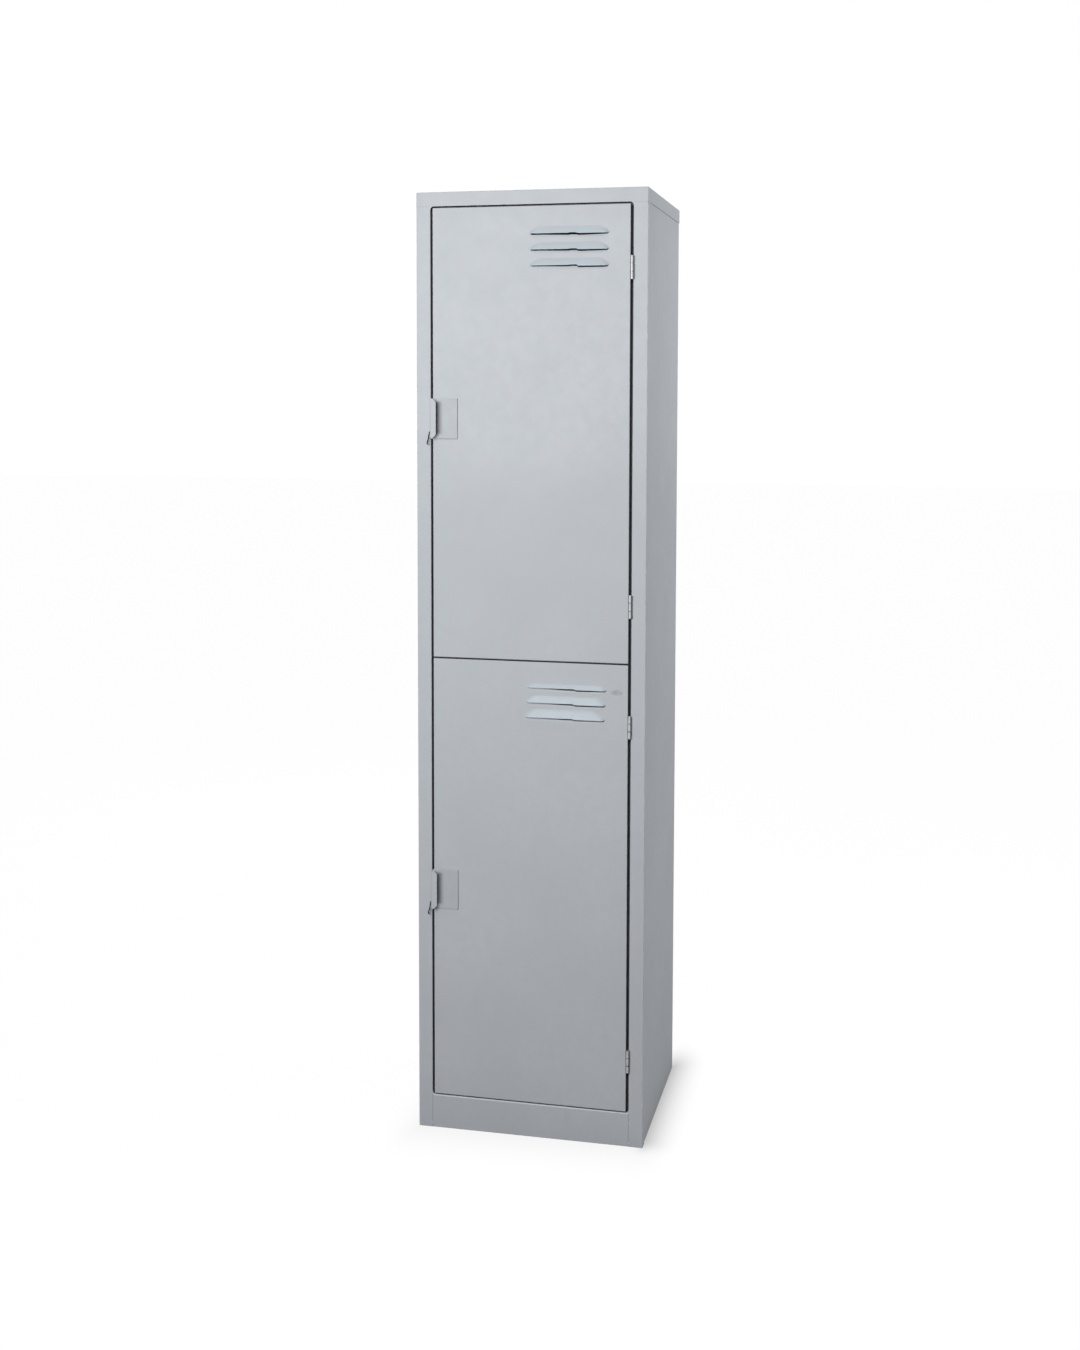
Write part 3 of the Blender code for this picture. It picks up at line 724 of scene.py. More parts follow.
def from_curve(name, curve, matrix=Matrix()):
    """The curve as a closed mesh."""
    drawn = bpy.data.objects.new(name, curve)
    bpy.context.scene.collection.objects.link(drawn)
    bpy.context.view_layer.update()
    graph = bpy.context.evaluated_depsgraph_get()
    bm = bmesh.new()
    bm.from_mesh(drawn.evaluated_get(graph).to_mesh())
    bpy.data.objects.remove(drawn, do_unlink=True)
    bpy.data.curves.remove(curve)
    bmesh.ops.remove_doubles(bm, verts=bm.verts, dist=MERGE_DISTANCE)
    bmesh.ops.transform(bm, matrix=matrix, verts=bm.verts)
    bmesh.ops.recalc_face_normals(bm, faces=bm.faces)
    return mesh_object(name, bm)


def wire(name, points, radius):
    """A round wire through the points, as a mesh with closed ends."""
    curve = bpy.data.curves.new(name, "CURVE")
    curve.dimensions = "3D"
    curve.bevel_depth = radius
    curve.bevel_resolution = 5
    curve.resolution_u = 12
    curve.use_fill_caps = True
    spline = curve.splines.new("BEZIER")
    spline.bezier_points.add(len(points) - 1)
    for point, place in zip(spline.bezier_points, points):
        point.co = place
        point.handle_left_type = point.handle_right_type = "AUTO"
    return from_curve(name, curve)


def plate(name, outline, thickness, matrix, holes=(), edge=0.0002):
    """A flat plate drawn in local XY, with round holes given as (x, y, radius)."""
    curve = bpy.data.curves.new(name, "CURVE")
    curve.dimensions = "2D"
    curve.fill_mode = "BOTH"
    curve.extrude = thickness / 2 - edge
    curve.bevel_depth = edge
    curve.bevel_resolution = 2
    curve.offset = -edge
    rings = [outline]
    for x, y, radius in holes:
        turns = [math.tau * k / HOLE_SEGMENTS for k in range(HOLE_SEGMENTS)]
        rings.append([Vector((x, y)) + round_point(radius, turn) for turn in turns])
    for ring in rings:
        spline = curve.splines.new("POLY")
        spline.points.add(len(ring) - 1)
        for point, (x, y) in zip(spline.points, ring):
            point.co = (x, y, 0.0, 1.0)
        spline.use_cyclic_u = True
    return from_curve(name, curve, matrix)


def rounded_rectangle(width, height, radius, steps=6):
    points = []
    for sign_x, sign_y, start in ((1, 1, 0), (-1, 1, 1), (-1, -1, 2), (1, -1, 3)):
        centre = Vector((sign_x * (width / 2 - radius), sign_y * (height / 2 - radius)))
        turns = [math.pi / 2 * (start + step / steps) for step in range(steps + 1)]
        points += [centre + round_point(radius, turn) for turn in turns]
    return points


def wander(u, v, seed):
    """A slow wander from 0 to 1 over a sheet."""
    return 0.5 + 0.5 * noise.noise(Vector((u / WANDER_ACROSS, v / WANDER_ALONG, seed)))


# ---------------------------------------------------------------- trays


def fold_rings(radius, depth, lip=0.0, steps=5):
    """(outward, depth) of each ring round a tray's face: the fold, the return and the lip turned in."""
    quarter = [math.pi / 2 * step / steps for step in range(steps + 1)]
    rings = [(radius * math.sin(turn), radius * (1 - math.cos(turn))) for turn in quarter[1:]]
    if not lip:
        return rings + [(radius, depth)]
    for turn in quarter:
        rings.append((radius - SOFT_FOLD * (1 - math.cos(turn)), depth - SOFT_FOLD * (1 - math.sin(turn))))
    return rings + [(radius - lip, depth)]


def tray(name, us, rows, rings, place, outward, mark=None):
    """A face with rings folded back round its edges.

    rows is a list of (v, height function, joined to the next row). Heights stand out of the face.
    """
    bm = bmesh.new()
    # mark gives each vertex a share that the paint uses for the painted light and shade on hoods
    layer = bm.verts.layers.float.new("pressed") if mark else None
    grid = []
    for v, height, _ in rows:
        line = []
        for u in us:
            v_here, h_here = height(u, v)
            vert = bm.verts.new(place(u, v_here, -h_here))
            if mark:
                vert[layer] = mark(h_here)
            line.append(vert)
        grid.append(line)
    for row, lower, upper in zip(rows, grid, grid[1:]):
        if row[2]:
            bridge(bm, lower, upper)
    left, right, bottom, top = us[0], us[-1], rows[0][0], rows[-1][0]
    levels = [row[0] for row in rows]
    sides = (
        ([(u, bottom) for u in us], grid[0], -0.5),
        ([(right, v) for v in levels], [line[-1] for line in grid], 0.0),
        ([(u, top) for u in reversed(us)], grid[-1][::-1], 0.5),
        ([(left, v) for v in reversed(levels)], [line[0] for line in reversed(grid)], 1.0),
    )
    border, loop = [], []
    for spots, verts, facing in sides:
        for k in range(len(spots) - 1):
            for turn in spread(facing - 0.5, facing, CORNER_STEPS) if k == 0 else [facing]:
                border.append((*spots[k], math.cos(math.pi * turn), math.sin(math.pi * turn)))
                loop.append(verts[k])
    for out, depth in rings:
        ring = []
        for u, v, across, along in border:
            if out >= 0:
                u_here, v_here = u + out * across, v + out * along
            else:
                u_here = min(max(u, left - out), right + out)
                v_here = min(max(v, bottom - out), top + out)
            ring.append(bm.verts.new(place(u_here, v_here, depth)))
        for k in range(len(border)):
            after = (k + 1) % len(border)
            corners = list(dict.fromkeys((loop[k], ring[k], ring[after], loop[after])))
            if len(corners) > 2:
                bm.faces.new(corners)
        loop = ring
    bmesh.ops.remove_doubles(bm, verts=bm.verts, dist=2 * MERGE_DISTANCE)
    bmesh.ops.dissolve_degenerate(bm, edges=bm.edges, dist=MERGE_DISTANCE)
    widest = max(bm.faces, key=lambda face: face.calc_area())
    bmesh.ops.recalc_face_normals(bm, faces=bm.faces)
    if widest.normal.dot(Vector(outward)) < 0:
        bmesh.ops.reverse_faces(bm, faces=bm.faces)
    return mesh_object(name, bm)


def flat_rows(values, height):
    return [(value, height, True) for value in values]


# ---------------------------------------------------------------- carcass


def roof():
    """The cap: a tray folded down all round, whose front flange is the rail over the upper door."""

    def sag(x, y):
        edge = min(SIDE - abs(x), y - FRONT, BACK - y) / ROOF_FADE
        return y, -ROOF_SAG * smooth(edge) * (0.6 + 0.4 * wander(x, y, 3.0))

    made = tray(
        "roof_tray",
        spread(-SIDE + SOFT_FOLD, SIDE - SOFT_FOLD, 18),
        flat_rows(spread(FRONT + SOFT_FOLD, BACK - SOFT_FOLD, 16), sag),
        fold_rings(SOFT_FOLD, TOP - CAP_UNDERSIDE),
        lambda u, v, w: Vector((u, v, TOP - w)),
        (0, 0, 1),
    )
    thicken(made, SHEET)
    dress(made, "cabinet", "cabinet_paint", "top_cap")


def stiles():
    """The two upright channels at the front. The left one has notches for the padlock tongues."""
    stop = FRONT + JAMB_DEPTH
    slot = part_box("padlock_tongue_upper")[1].x
    slot_low, slot_high = slot - 0.0025, slot + 0.0005
    tongues = [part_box(f"padlock_tongue_{tier}") for tier in TIERS]
    notches = [(low.z - SHEET, high.z + SHEET) for low, high in tongues]
    relief = CAP_UNDERSIDE - RELIEF_NOTCH
    for side, sign in (("left", -1), ("right", 1)):
        corner = Vector((sign * SIDE, FRONT))
        outline = [(corner.x, FRONT + STILE_RETURN), corner, (sign * JAMB, FRONT), (sign * JAMB, stop)]
        radii = [SOFT_FOLD, FOLD, FOLD * JAMB_TIGHTNESS]
        if sign < 0:
            outline += [(slot_low, stop), (slot_high, stop)]
            radii += [0, 0]
        outline.append((sign * abs(INNER_STOP), stop))
        path = rounded(outline, radii)
        if sign > 0:
            path.reverse()
        stations = [0.0, relief, CAP_UNDERSIDE]
        stations += [z for notch in notches for z in notch] if sign < 0 else []

        def skip(point, z, sign=sign, corner=corner):
            """The relief at the right stile's top corner, and the left one's notches."""
            if sign > 0:
                return (point - corner).length < SOFT_FOLD * 0.75 and z > relief
            in_slot = slot_low < point.x < slot_high and point.y > stop - SHEET / 2
            return in_slot and any(low < z < high for low, high in notches)

        made = bent_sheet(f"frame_stile_{side}", path, sorted(stations), upright, skip=skip)
        dress(made, "cabinet", "cabinet_paint", f"stile_{side}")


def rails():
    """The rail behind the cap's flange and the plinth across the foot."""
    low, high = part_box("header_rail")
    header = [(low.y, high.z), (low.y, CAP_UNDERSIDE), (BEHIND_STOP, CAP_UNDERSIDE), (BEHIND_STOP, low.z)]
    made = bent_sheet("door_head_rail", rounded(header, FOLD), spread(low.x, high.x, 4), crosswise)
    dress(made, "cabinet", "cabinet_paint", "header_rail")
    low, high = PLINTH_LOW, PLINTH_HIGH
    channel = [(high.y, high.z), (low.y, high.z), (low.y, low.z), (high.y, low.z)]
    path = rounded(channel, (PLINTH_FOLD, FOLD * JAMB_TIGHTNESS))
    made = bent_sheet("kick_plinth", path, spread(low.x, high.x, 6), crosswise)
    dress(made, "cabinet", "cabinet_paint", "plinth")


def dressed_welds():
    """Flush welds: rounded inner corners of the door opening and the seams that run out from them."""
    back = FRONT + WELD_DEPTH
    for place, level, up, front in (
        ("top", CAP_UNDERSIDE, 1, FRONT + 0.0001), ("foot", PLINTH_HIGH.z, -1, FRONT + 0.0004)
    ):
        facing = Matrix.Translation((0, (front + back) / 2, 0)) @ STANDING
        for side, sign in (("left", -1), ("right", 1)):
            corner = Vector((sign * JAMB, level))
            centre = corner + Vector((-sign, -up)) * CORNER_FILLET
            reach = corner + Vector((sign, up)) * FOLD * 1.2
            outer, inner = sign * (SIDE - SHEET), corner.x - sign * SEAM * 2
            if up > 0:
                outline = [(outer, reach.y), (centre.x, reach.y)]
            else:
                outline = [(reach.x, WELD_FOOT), (inner, WELD_FOOT), (inner, reach.y), (centre.x, reach.y)]
            for turn in spread(0.0, math.pi / 2, 12):
                outline.append(centre + CORNER_FILLET * Vector((sign * math.sin(turn), up * math.cos(turn))))
            outline.append((reach.x, centre.y))
            if up > 0:
                outline += [(reach.x, level - SEAM * 2), (outer, level - SEAM * 2)]
            made = plate(f"dressed_weld_{place}_{side}", outline, back - front, facing, edge=0.00005)
            dress(made, "cabinet", "cabinet_paint")


def wide_sheets():
    """The side and back panels, with the slight unevenness of a large thin sheet."""
    for node, axis in (("side_panel_left", 0), ("side_panel_right", 0), ("back_panel", 1)):
        low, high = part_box(node)
        outer = high if (low + high)[axis] > 0 else low
        sign = 1 if outer is high else -1
        across = 1 - axis
        bm = bmesh.new()
        rows = []
        for z in spread(low.z, high.z, 40):
            line = []
            for along in spread(low[across], high[across], 14):
                inside = min(along - low[across], high[across] - along) / PANEL_FADE[0]
                edge = min(inside, min(z - low.z, high.z - z) / PANEL_FADE[1])
                point = Vector((0, 0, z))
                point[across] = along
                point[axis] = outer[axis] - sign * OIL_CANNING * smooth(edge) * wander(along, z, axis + sign)
                line.append(bm.verts.new(point))
            rows.append(line)
        for lower, upper in zip(rows, rows[1:]):
            bridge(bm, lower, upper)
        bm.normal_update()
        bm.faces.ensure_lookup_table()
        if bm.faces[0].normal[axis] * sign < 0:
            bmesh.ops.reverse_faces(bm, faces=bm.faces)
        made = mesh_object(node.replace("panel", "sheet"), bm)
        thicken(made, SHEET)
        dress(made, "cabinet", "cabinet_paint", node)


def shelves():
    for node in ("middle_shelf", "bottom_shelf"):
        low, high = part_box(node)

        def sag(x, y, low=low, high=high):
            edge = min(high.x - abs(x), y - low.y, high.y - y) / SHELF_FADE
            return y, -SHELF_SAG * smooth(edge)

        made = tray(
            node.replace("shelf", "shelf_tray"),
            spread(low.x + FOLD, high.x - FOLD, 12),
            flat_rows(spread(low.y + FOLD, high.y - FOLD, 12), sag),
            fold_rings(FOLD, high.z - low.z),
            lambda u, v, w, top=high.z: Vector((u, v, top - w)),
            (0, 0, 1),
        )
        thicken(made, SHEET)
        dress(made, "cabinet", "cabinet_paint", node)


# ---------------------------------------------------------------- doors


def slit_lines(share, gaps, notch_height, drop):
    """Shift of the hood's edge, and height of the slit below it, at a share of the slit's length."""
    left, middle, right = gaps
    past_step = smooth((share - STEP_AT) / 0.008)
    notch = notch_height * smooth((share - NOTCH_AT) / 0.016) * (1 - past_step)
    step = -drop * past_step
    if share < STEP_AT:
        gap = left + (middle - left) * smooth((share - 0.1) / 0.45)
    else:
        gap = middle + (right - middle) * (share - STEP_AT) / (1 - STEP_AT)
    ends = smooth(share / 0.03) * smooth((1 - share) / 0.02)
    return (notch + step) * ends, gap * ends


def hood_profile(to_left, to_right, above, full_rise):
    """How far a hood stands out, from 0 to 1, at distances from its ends and above its edge."""
    taper = min(1.0, to_left / (full_rise * HOOD_SLOPE), to_right / (full_rise * HOOD_SLOPE))
    if taper <= 0:
        return 0.0
    grown = HOOD_FOOT + (1 - HOOD_FOOT) * taper * (3 - taper * taper) / 2
    rise = LOUVRE_LIP + (full_rise - LOUVRE_LIP) * grown
    ends = math.sin(math.pi / 2 * min(1.0, to_left / HOOD_ENDS[0], to_right / HOOD_ENDS[1]))
    fall = min(max((above - LOUVRE_LIP) / (rise - LOUVRE_LIP), 0.0), 1.0)
    return ends * (1 - fall) * (1 - HOOD_HOLLOW * fall * fall)


def louvred_rows(bottom, top, tier, seed):
    """Rows of the door's face, with two unconnected rows at each slit."""
    left, right = LOUVRE_SPAN[tier]
    low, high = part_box(f"door_pan_{tier}")

    def wavy(x, z):
        """The sheet's unevenness, which fades out at its edges, the louvres and the handle."""
        edge = min((x - low.x) / 0.05, (high.x - x) / 0.05, (z - bottom) / 0.06, (top - z) / 0.06)
        beside = smooth(1.4 - abs(x - (left + right) / 2) / 0.10)
        clear = 1 - beside * smooth(1.5 - abs(z - (SLIT_TOPS[tier] - 0.03)) / 0.07)
        near_handle = smooth((x - low.x - 0.06) / 0.05)
        return -OIL_CANNING * smooth(edge) * clear * near_handle * wander(x, z, seed)

    def plain(x, z):
        return z, wavy(x, z)

    def row(offset, k, edge):
        rise = LOUVRE_RISE[tier][k]
        start, end = left + HOOD_INSETS[tier][k][0], right - HOOD_INSETS[tier][k][1]

        def height(x, z):
            share = (x - start) / (end - start)
            if not 0 < share < 1:
                return z, wavy(x, z)
            shift, gap = slit_lines(share, SLIT_GAPS[tier][k], LOUVRE_NOTCH[tier], LOUVRE_STEP[tier][k])
            if edge == "hood":
                fade = 1 - smooth(offset / rise)
                return z + shift * fade, LOUVRE_PROUD * hood_profile(x - start, end - x, offset, rise)
            fade = 1 - smooth(-offset / DIP_REACH)
            dip = LOUVRE_DIP * fade * smooth(min(share / 0.1, (1 - share) / 0.1))
            return z + (shift - gap) * fade, -dip
        return height

    rows = []
    for k in reversed(range(len(SLIT_GAPS[tier]))):
        slit = SLIT_TOPS[tier] - LOUVRE_PITCH[tier] * k
        for offset in BELOW_SLIT:
            rows.append((slit + offset, row(offset, k, "face"), offset < 0))
        for offset in [0.0, LOUVRE_LIP * 0.5] + spread(LOUVRE_LIP, LOUVRE_RISE[tier][k], HOOD_ROWS):
            rows.append((slit + offset, row(offset, k, "hood"), True))
    above = spread(rows[-1][0], top, 3)[1:]
    below = spread(bottom, rows[0][0], 16)[:-1]
    return flat_rows(below, plain) + rows + flat_rows(above, plain)


def tongue_slot(tier, front, rear):
    """A cutter for the slot that the padlock tongue comes out through."""
    low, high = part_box(f"padlock_tongue_{tier}")
    middle = (low.z + high.z) / 2
    return solid_block(
        "tongue_slot", (high.x - 0.0037, front, middle - 0.011), (high.x + 0.0013, rear, middle + 0.011)
    )


def door_pans():
    """Each door: one sheet with pressed louvres, folded round its edge and slotted for the tongue."""
    for seed, tier in enumerate(TIERS):
        low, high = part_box(f"door_pan_{tier}")
        left, right = LOUVRE_SPAN[tier]
        columns = spread(low.x + DOOR_FOLD, left - LOUVRE_MARGIN, 6)
        columns += spread(left, right, HOOD_COLUMNS)
        columns += spread(right + LOUVRE_MARGIN, high.x - DOOR_FOLD, 3)
        rows = louvred_rows(low.z + DOOR_FOLD, high.z - DOOR_FOLD, tier, seed + 1.0)

        # How far a vertex is pressed out into a hood, as a share, for the painted light and shade on the
        # hoods
        def pressed(height, crispness=HOOD_CRISPNESS[tier]):
            return smooth(height / LOUVRE_PROUD * crispness)

        made = tray(
            f"pressed_door_{tier}",
            columns,
            rows,
            fold_rings(DOOR_FOLD, high.y - FRONT, DOOR_LIP),
            lambda u, v, w: Vector((u, FRONT + w, v)),
            (0, -1, 0),
            pressed,
        )
        thicken(made, SHEET)
        slot = tongue_slot(tier, FRONT - 0.003, high.y + 0.003)
        cut(made, slot)
        dress(made, f"door_{tier}", "door_paint", f"door_pan_{tier}", tools=[slot])


def stiffeners():
    """A hat section spot-welded inside each door."""
    for tier in TIERS:
        low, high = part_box(f"door_stiffener_{tier}")
        left, right = low.x + STIFFENER_BRIM, high.x - STIFFENER_BRIM
        outline = [(low.x, low.y), (left, low.y), (left, high.y)]
        outline += [(right, high.y), (right, low.y), (high.x, low.y)]
        path = rounded(outline, STIFFENER_BEND)
        made = bent_sheet(f"hat_stiffener_{tier}", path, spread(low.z, high.z, 6), upright)
        dress(made, f"door_{tier}", "door_paint", f"door_stiffener_{tier}")


def handles():
    """A plate on the door, a leg off its edge and a lip folded back over it, from one bent sheet."""
    for tier in TIERS:
        low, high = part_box(f"handle_{tier}")
        half = HANDLE_SHEET / 2
        leg_x, plate_y, lip_y = low.x + half, high.y - PLATE_GAP - half, low.y + half
        outline = [(high.x, plate_y), (leg_x, plate_y), (leg_x, lip_y), (low.x + LIP_WIDTH, lip_y)]
        path = rounded(outline, HANDLE_BEND, 6)
        lip_start = leg_x + HANDLE_BEND
        lip_stations = spread(lip_start, low.x + LIP_WIDTH, 10)[1:]
        path = path[:-1] + [Vector((x, lip_y)) for x in lip_stations]

        def ends(point, low=low, high=high, lip_y=lip_y, plate_y=plate_y):
            """The lower and upper end of the sheet at a point of its path."""
            if point.y > (lip_y + plate_y) / 2:
                return low.z, high.z
            share = (point.x - low.x) / LIP_WIDTH
            if share < LIP_APEX:
                outward = smooth((plate_y - point.y) / (plate_y - lip_y))
                foot = LEG_FOOT_DROP * outward * (1 - math.sin(math.pi / 2 * share / LIP_APEX))
            else:
                along = (share - LIP_APEX) / (1 - LIP_APEX)
                round_share = 1 - math.sqrt(max(0.0, 1 - along ** 2.2))
                foot = LIP_FOOT_DROP * (0.35 * round_share + 0.65 * along)
            top_share = max(0.0, (share - 0.48) / 0.52)
            top = LIP_TOP_DROP * (0.85 * top_share + 0.15 * top_share ** 5)
            return low.z + foot, high.z - top

        bm = bmesh.new()
        lines = []
        for share in HANDLE_ROWS:
            line = []
            for point in path:
                foot, top = ends(point)
                line.append(bm.verts.new((point.x, point.y, foot + (top - foot) * share)))
            lines.append(line)
        for lower, upper in zip(lines, lines[1:]):
            bridge(bm, lower, upper)
        bmesh.ops.recalc_face_normals(bm, faces=bm.faces)
        made = mesh_object(f"pull_handle_{tier}", bm)
        thicken(made, HANDLE_SHEET, 0.0)
        soften(made, HANDLE_EDGE)
        middle = (low.z + high.z) / 2
        tools = [
            round_cutter("lock_hole", (leg_x, FRONT - PADLOCK_HOLE_OUT, middle), PADLOCK_HOLE, 0.004, "X"),
            round_cutter(
                "clip_hole", (leg_x, FRONT - CLIP_HOLE_OUT, low.z + CLIP_HOLE_UP), CLIP_HOLE, 0.004, "X"
            ),
            tongue_slot(tier, FRONT - 0.004, FRONT + 0.004),
        ]
        cut(made, *tools)
        dress(made, f"door_{tier}", "door_paint", f"handle_{tier}", tools=tools)


def wire_clips():
    """A bent wire hanging in the foot of each handle's leg."""
    for tier in TIERS:
        low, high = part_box(f"wire_clip_{tier}")
        y = (low.y + high.y) / 2
        left, foot = low.x + CLIP_WIRE, low.z + CLIP_WIRE
        right, top = high.x - CLIP_WIRE, high.z - CLIP_WIRE
        points = [
            (right, y, top - 0.0030),
            (right - 0.0004, y, top - 0.0009),
            (right - 0.0022, y, top),
            (right - 0.0046, y, top - 0.0003),
            (right - 0.0056, y, top - 0.0022),
            (right - 0.0064, y, top - 0.0055),
            (left + 0.0022, y, foot + 0.0065),
            (left + 0.0003, y, foot + 0.0012),
            (left + 0.0003, y, foot - 0.0010),
            (left + 0.0020, y, foot - 0.0024),
        ]
        made = wire(f"bent_clip_{tier}", points, CLIP_WIRE)
        dress(made, f"clip_{tier}", "dark_wire", f"wire_clip_{tier}")


# ---------------------------------------------------------------- hinges and fittings


def hinge_leaf(side, label):
    """A leaf rolled round the pin. The frame's leaf has the end knuckles, the door's the middle one."""
    node = f"hinge_{side}_leaf_{label}"
    low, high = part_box(node)
    tier = label.split("_")[0]
    axis = middle_of(f"hinge_pin_{label}")
    roll = KNUCKLE_RADIUS - LEAF_SHEET / 2
    if side == "frame":
        leaf_x = JAMB - SEAM - LEAF_SHEET / 2
        length = KNUCKLE_SHARE - KNUCKLE_TRIM
        knuckles = ((low.z, low.z + length), (high.z - length, high.z))
        sweep = -KNUCKLE_WRAP
    else:
        leaf_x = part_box(f"door_pan_{tier}")[1].x + SEAM + LEAF_SHEET / 2
        inset = KNUCKLE_SHARE + KNUCKLE_GAP + KNUCKLE_TRIM
        knuckles = ((low.z + inset, high.z - inset),)
        sweep = KNUCKLE_WRAP
    reach = leaf_x - axis.x
    start = math.atan2(math.sqrt(roll * roll - reach * reach), reach)
    meet = Vector((leaf_x, axis.y + roll * math.sin(start)))
    knee = Vector((leaf_x, meet.y + 0.0012))
    path = [Vector((leaf_x, high.y)), knee, meet]
    turns = spread(start, start + math.radians(sweep), KNUCKLE_STEPS)[1:]
    path += [axis.xy + round_point(roll, turn) for turn in turns]

    def skip(point, z):
        on_leaf = point.y > knee.y and abs(point.x - leaf_x) < 1e-6
        return not on_leaf and not any(a < z < b for a, b in knuckles)

    stations = sorted({low.z, high.z, *(z for pair in knuckles for z in pair)})
    made = bent_sheet(f"rolled_{side}_leaf_{label}", path, stations, upright, LEAF_SHEET, 0.0, skip)
    soften(made, 0.0003, 3)
    dress(made, "cabinet" if side == "frame" else f"door_{tier}", "hinge_paint", node)


def hinge_pin(label):
    node = f"hinge_pin_{label}"
    low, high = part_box(node)
    radius = KNUCKLE_RADIUS - LEAF_SHEET - 0.0002
    head = domed(radius, 0.0009, 5, (high.z - low.z) / 2 - 0.0006)
    profile = [(r, -along) for r, along in reversed(head)] + head
    made = turned(f"rivet_pin_{label}", profile, middle_of(node), "Z")
    dress(made, "cabinet", "bright_steel", node)


def hinges():
    for label in HINGE_LABELS:
        hinge_leaf("frame", label)
        hinge_leaf("door", label)
        hinge_pin(label)


def tongues():
    """The plate that a padlock joins to the handle, welded to the stile by its foot."""
    thick = 0.002
    turn = Matrix(((0, 0, 1, 0), (1, 0, 0, 0), (0, 1, 0, 0), (0, 0, 0, 1)))
    for tier in TIERS:
        node = f"padlock_tongue_{tier}"
        low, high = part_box(node)
        middle = middle_of(node)
        middle.x = high.x - thick / 2
        outline = rounded_rectangle(high.y - low.y, high.z - low.z, 0.004)
        hole = (FRONT - PADLOCK_HOLE_OUT - middle.y, 0.0, PADLOCK_HOLE)
        made = plate(f"lock_tongue_{tier}", outline, thick, Matrix.Translation(middle) @ turn, [hole])
        dress(made, "cabinet", "bright_steel", node)
        made = solid_block(
            f"tongue_foot_{tier}",
            (low.x, BEHIND_STOP, low.z + 0.0005),
            (high.x - thick - 0.0001, high.y, high.z - 0.0005),
        )
        soften(made, 0.0003)
        dress(made, "cabinet", "bright_steel")


def strike_plates():
    """A thin steel plate on the door's return lip, for the magnet."""
    for tier in TIERS:
        node = f"strike_plate_{tier}"
        low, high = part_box(node)
        size = high - low
        made = plate(
            f"keeper_plate_{tier}",
            rounded_rectangle(size.x, size.z, 0.002),
            size.y,
            Matrix.Translation(middle_of(node)) @ STANDING,
            [(0.0, size.z * share, 0.0014) for share in (0.34, -0.34)],
        )
        dress(made, f"door_{tier}", "bright_steel", node)


def magnetic_catches():
    """A moulded case with two steel poles, held behind the stop flange by a tab and two rivets."""
    left, tab_back = INNER_STOP + SEAM, BEHIND_STOP + 0.0018
    for tier in TIERS:
        node = f"magnet_catch_{tier}"
        low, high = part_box(node)
        case = solid_block(f"catch_case_{tier}", (left, low.y + 0.0006, low.z), high)
        soften(case, 0.0010, 3)
        grooves = []
        for share in (-0.24, 0.24):
            z = middle_of(node).z + share * (high.z - low.z)
            near = (left - 0.001, low.y + 0.004, z - 0.0006)
            far = (left + 0.0005, high.y + 0.001, z + 0.0006)
            grooves.append(solid_block("groove", near, far))
        cut(case, *grooves)
        dress(case, "cabinet", "magnet_case", node, tools=grooves)
        poles = []
        for share in (0.28, 0.72):
            x = left + (high.x - left) * share
            near, far = (x - 0.0007, low.y, low.z + 0.004), (x + 0.0007, low.y + 0.006, high.z - 0.004)
            pole = solid_block("pole", near, far)
            soften(pole, 0.0002)
            poles.append(settle(pole))
        dress(joined(f"catch_poles_{tier}", poles), "cabinet", "bright_steel")
        near, far = (low.x, BEHIND_STOP, low.z + 0.001), (left - 0.0001, tab_back, high.z - 0.001)
        tab = solid_block(f"catch_tab_{tier}", near, far)
        soften(tab, 0.0005)
        dress(tab, "cabinet", "magnet_case")
        heads = []
        for share in (0.2, 0.8):
            centre = (low.x + 0.007, tab_back, low.z + (high.z - low.z) * share)
            profile = [(0.0, -0.0002), (0.0024, -0.0002)] + domed(0.0024, 0.0009)
            heads.append(turned("head", profile, centre, "Y"))
        dress(joined(f"catch_rivets_{tier}", heads), "cabinet", "bright_steel")


def buffers():
    """Rubber studs on the stop flange that the closed door rests near."""
    for label in HINGE_LABELS:
        node = f"rubber_buffer_{label}"
        low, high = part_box(node)
        radius, length = (high.x - low.x) / 2, high.y - low.y
        shoulder = length * 0.42
        centre = middle_of(node)
        centre.y = high.y
        profile = [(0.0, 0.0), (radius, 0.0), (radius, length * 0.30), (radius * 0.94, shoulder)]
        profile += domed(radius * 0.86, length * 0.58, base=shoulder)
        dress(turned(f"stud_buffer_{label}", profile, centre, "Y"), "cabinet", "rubber", node)


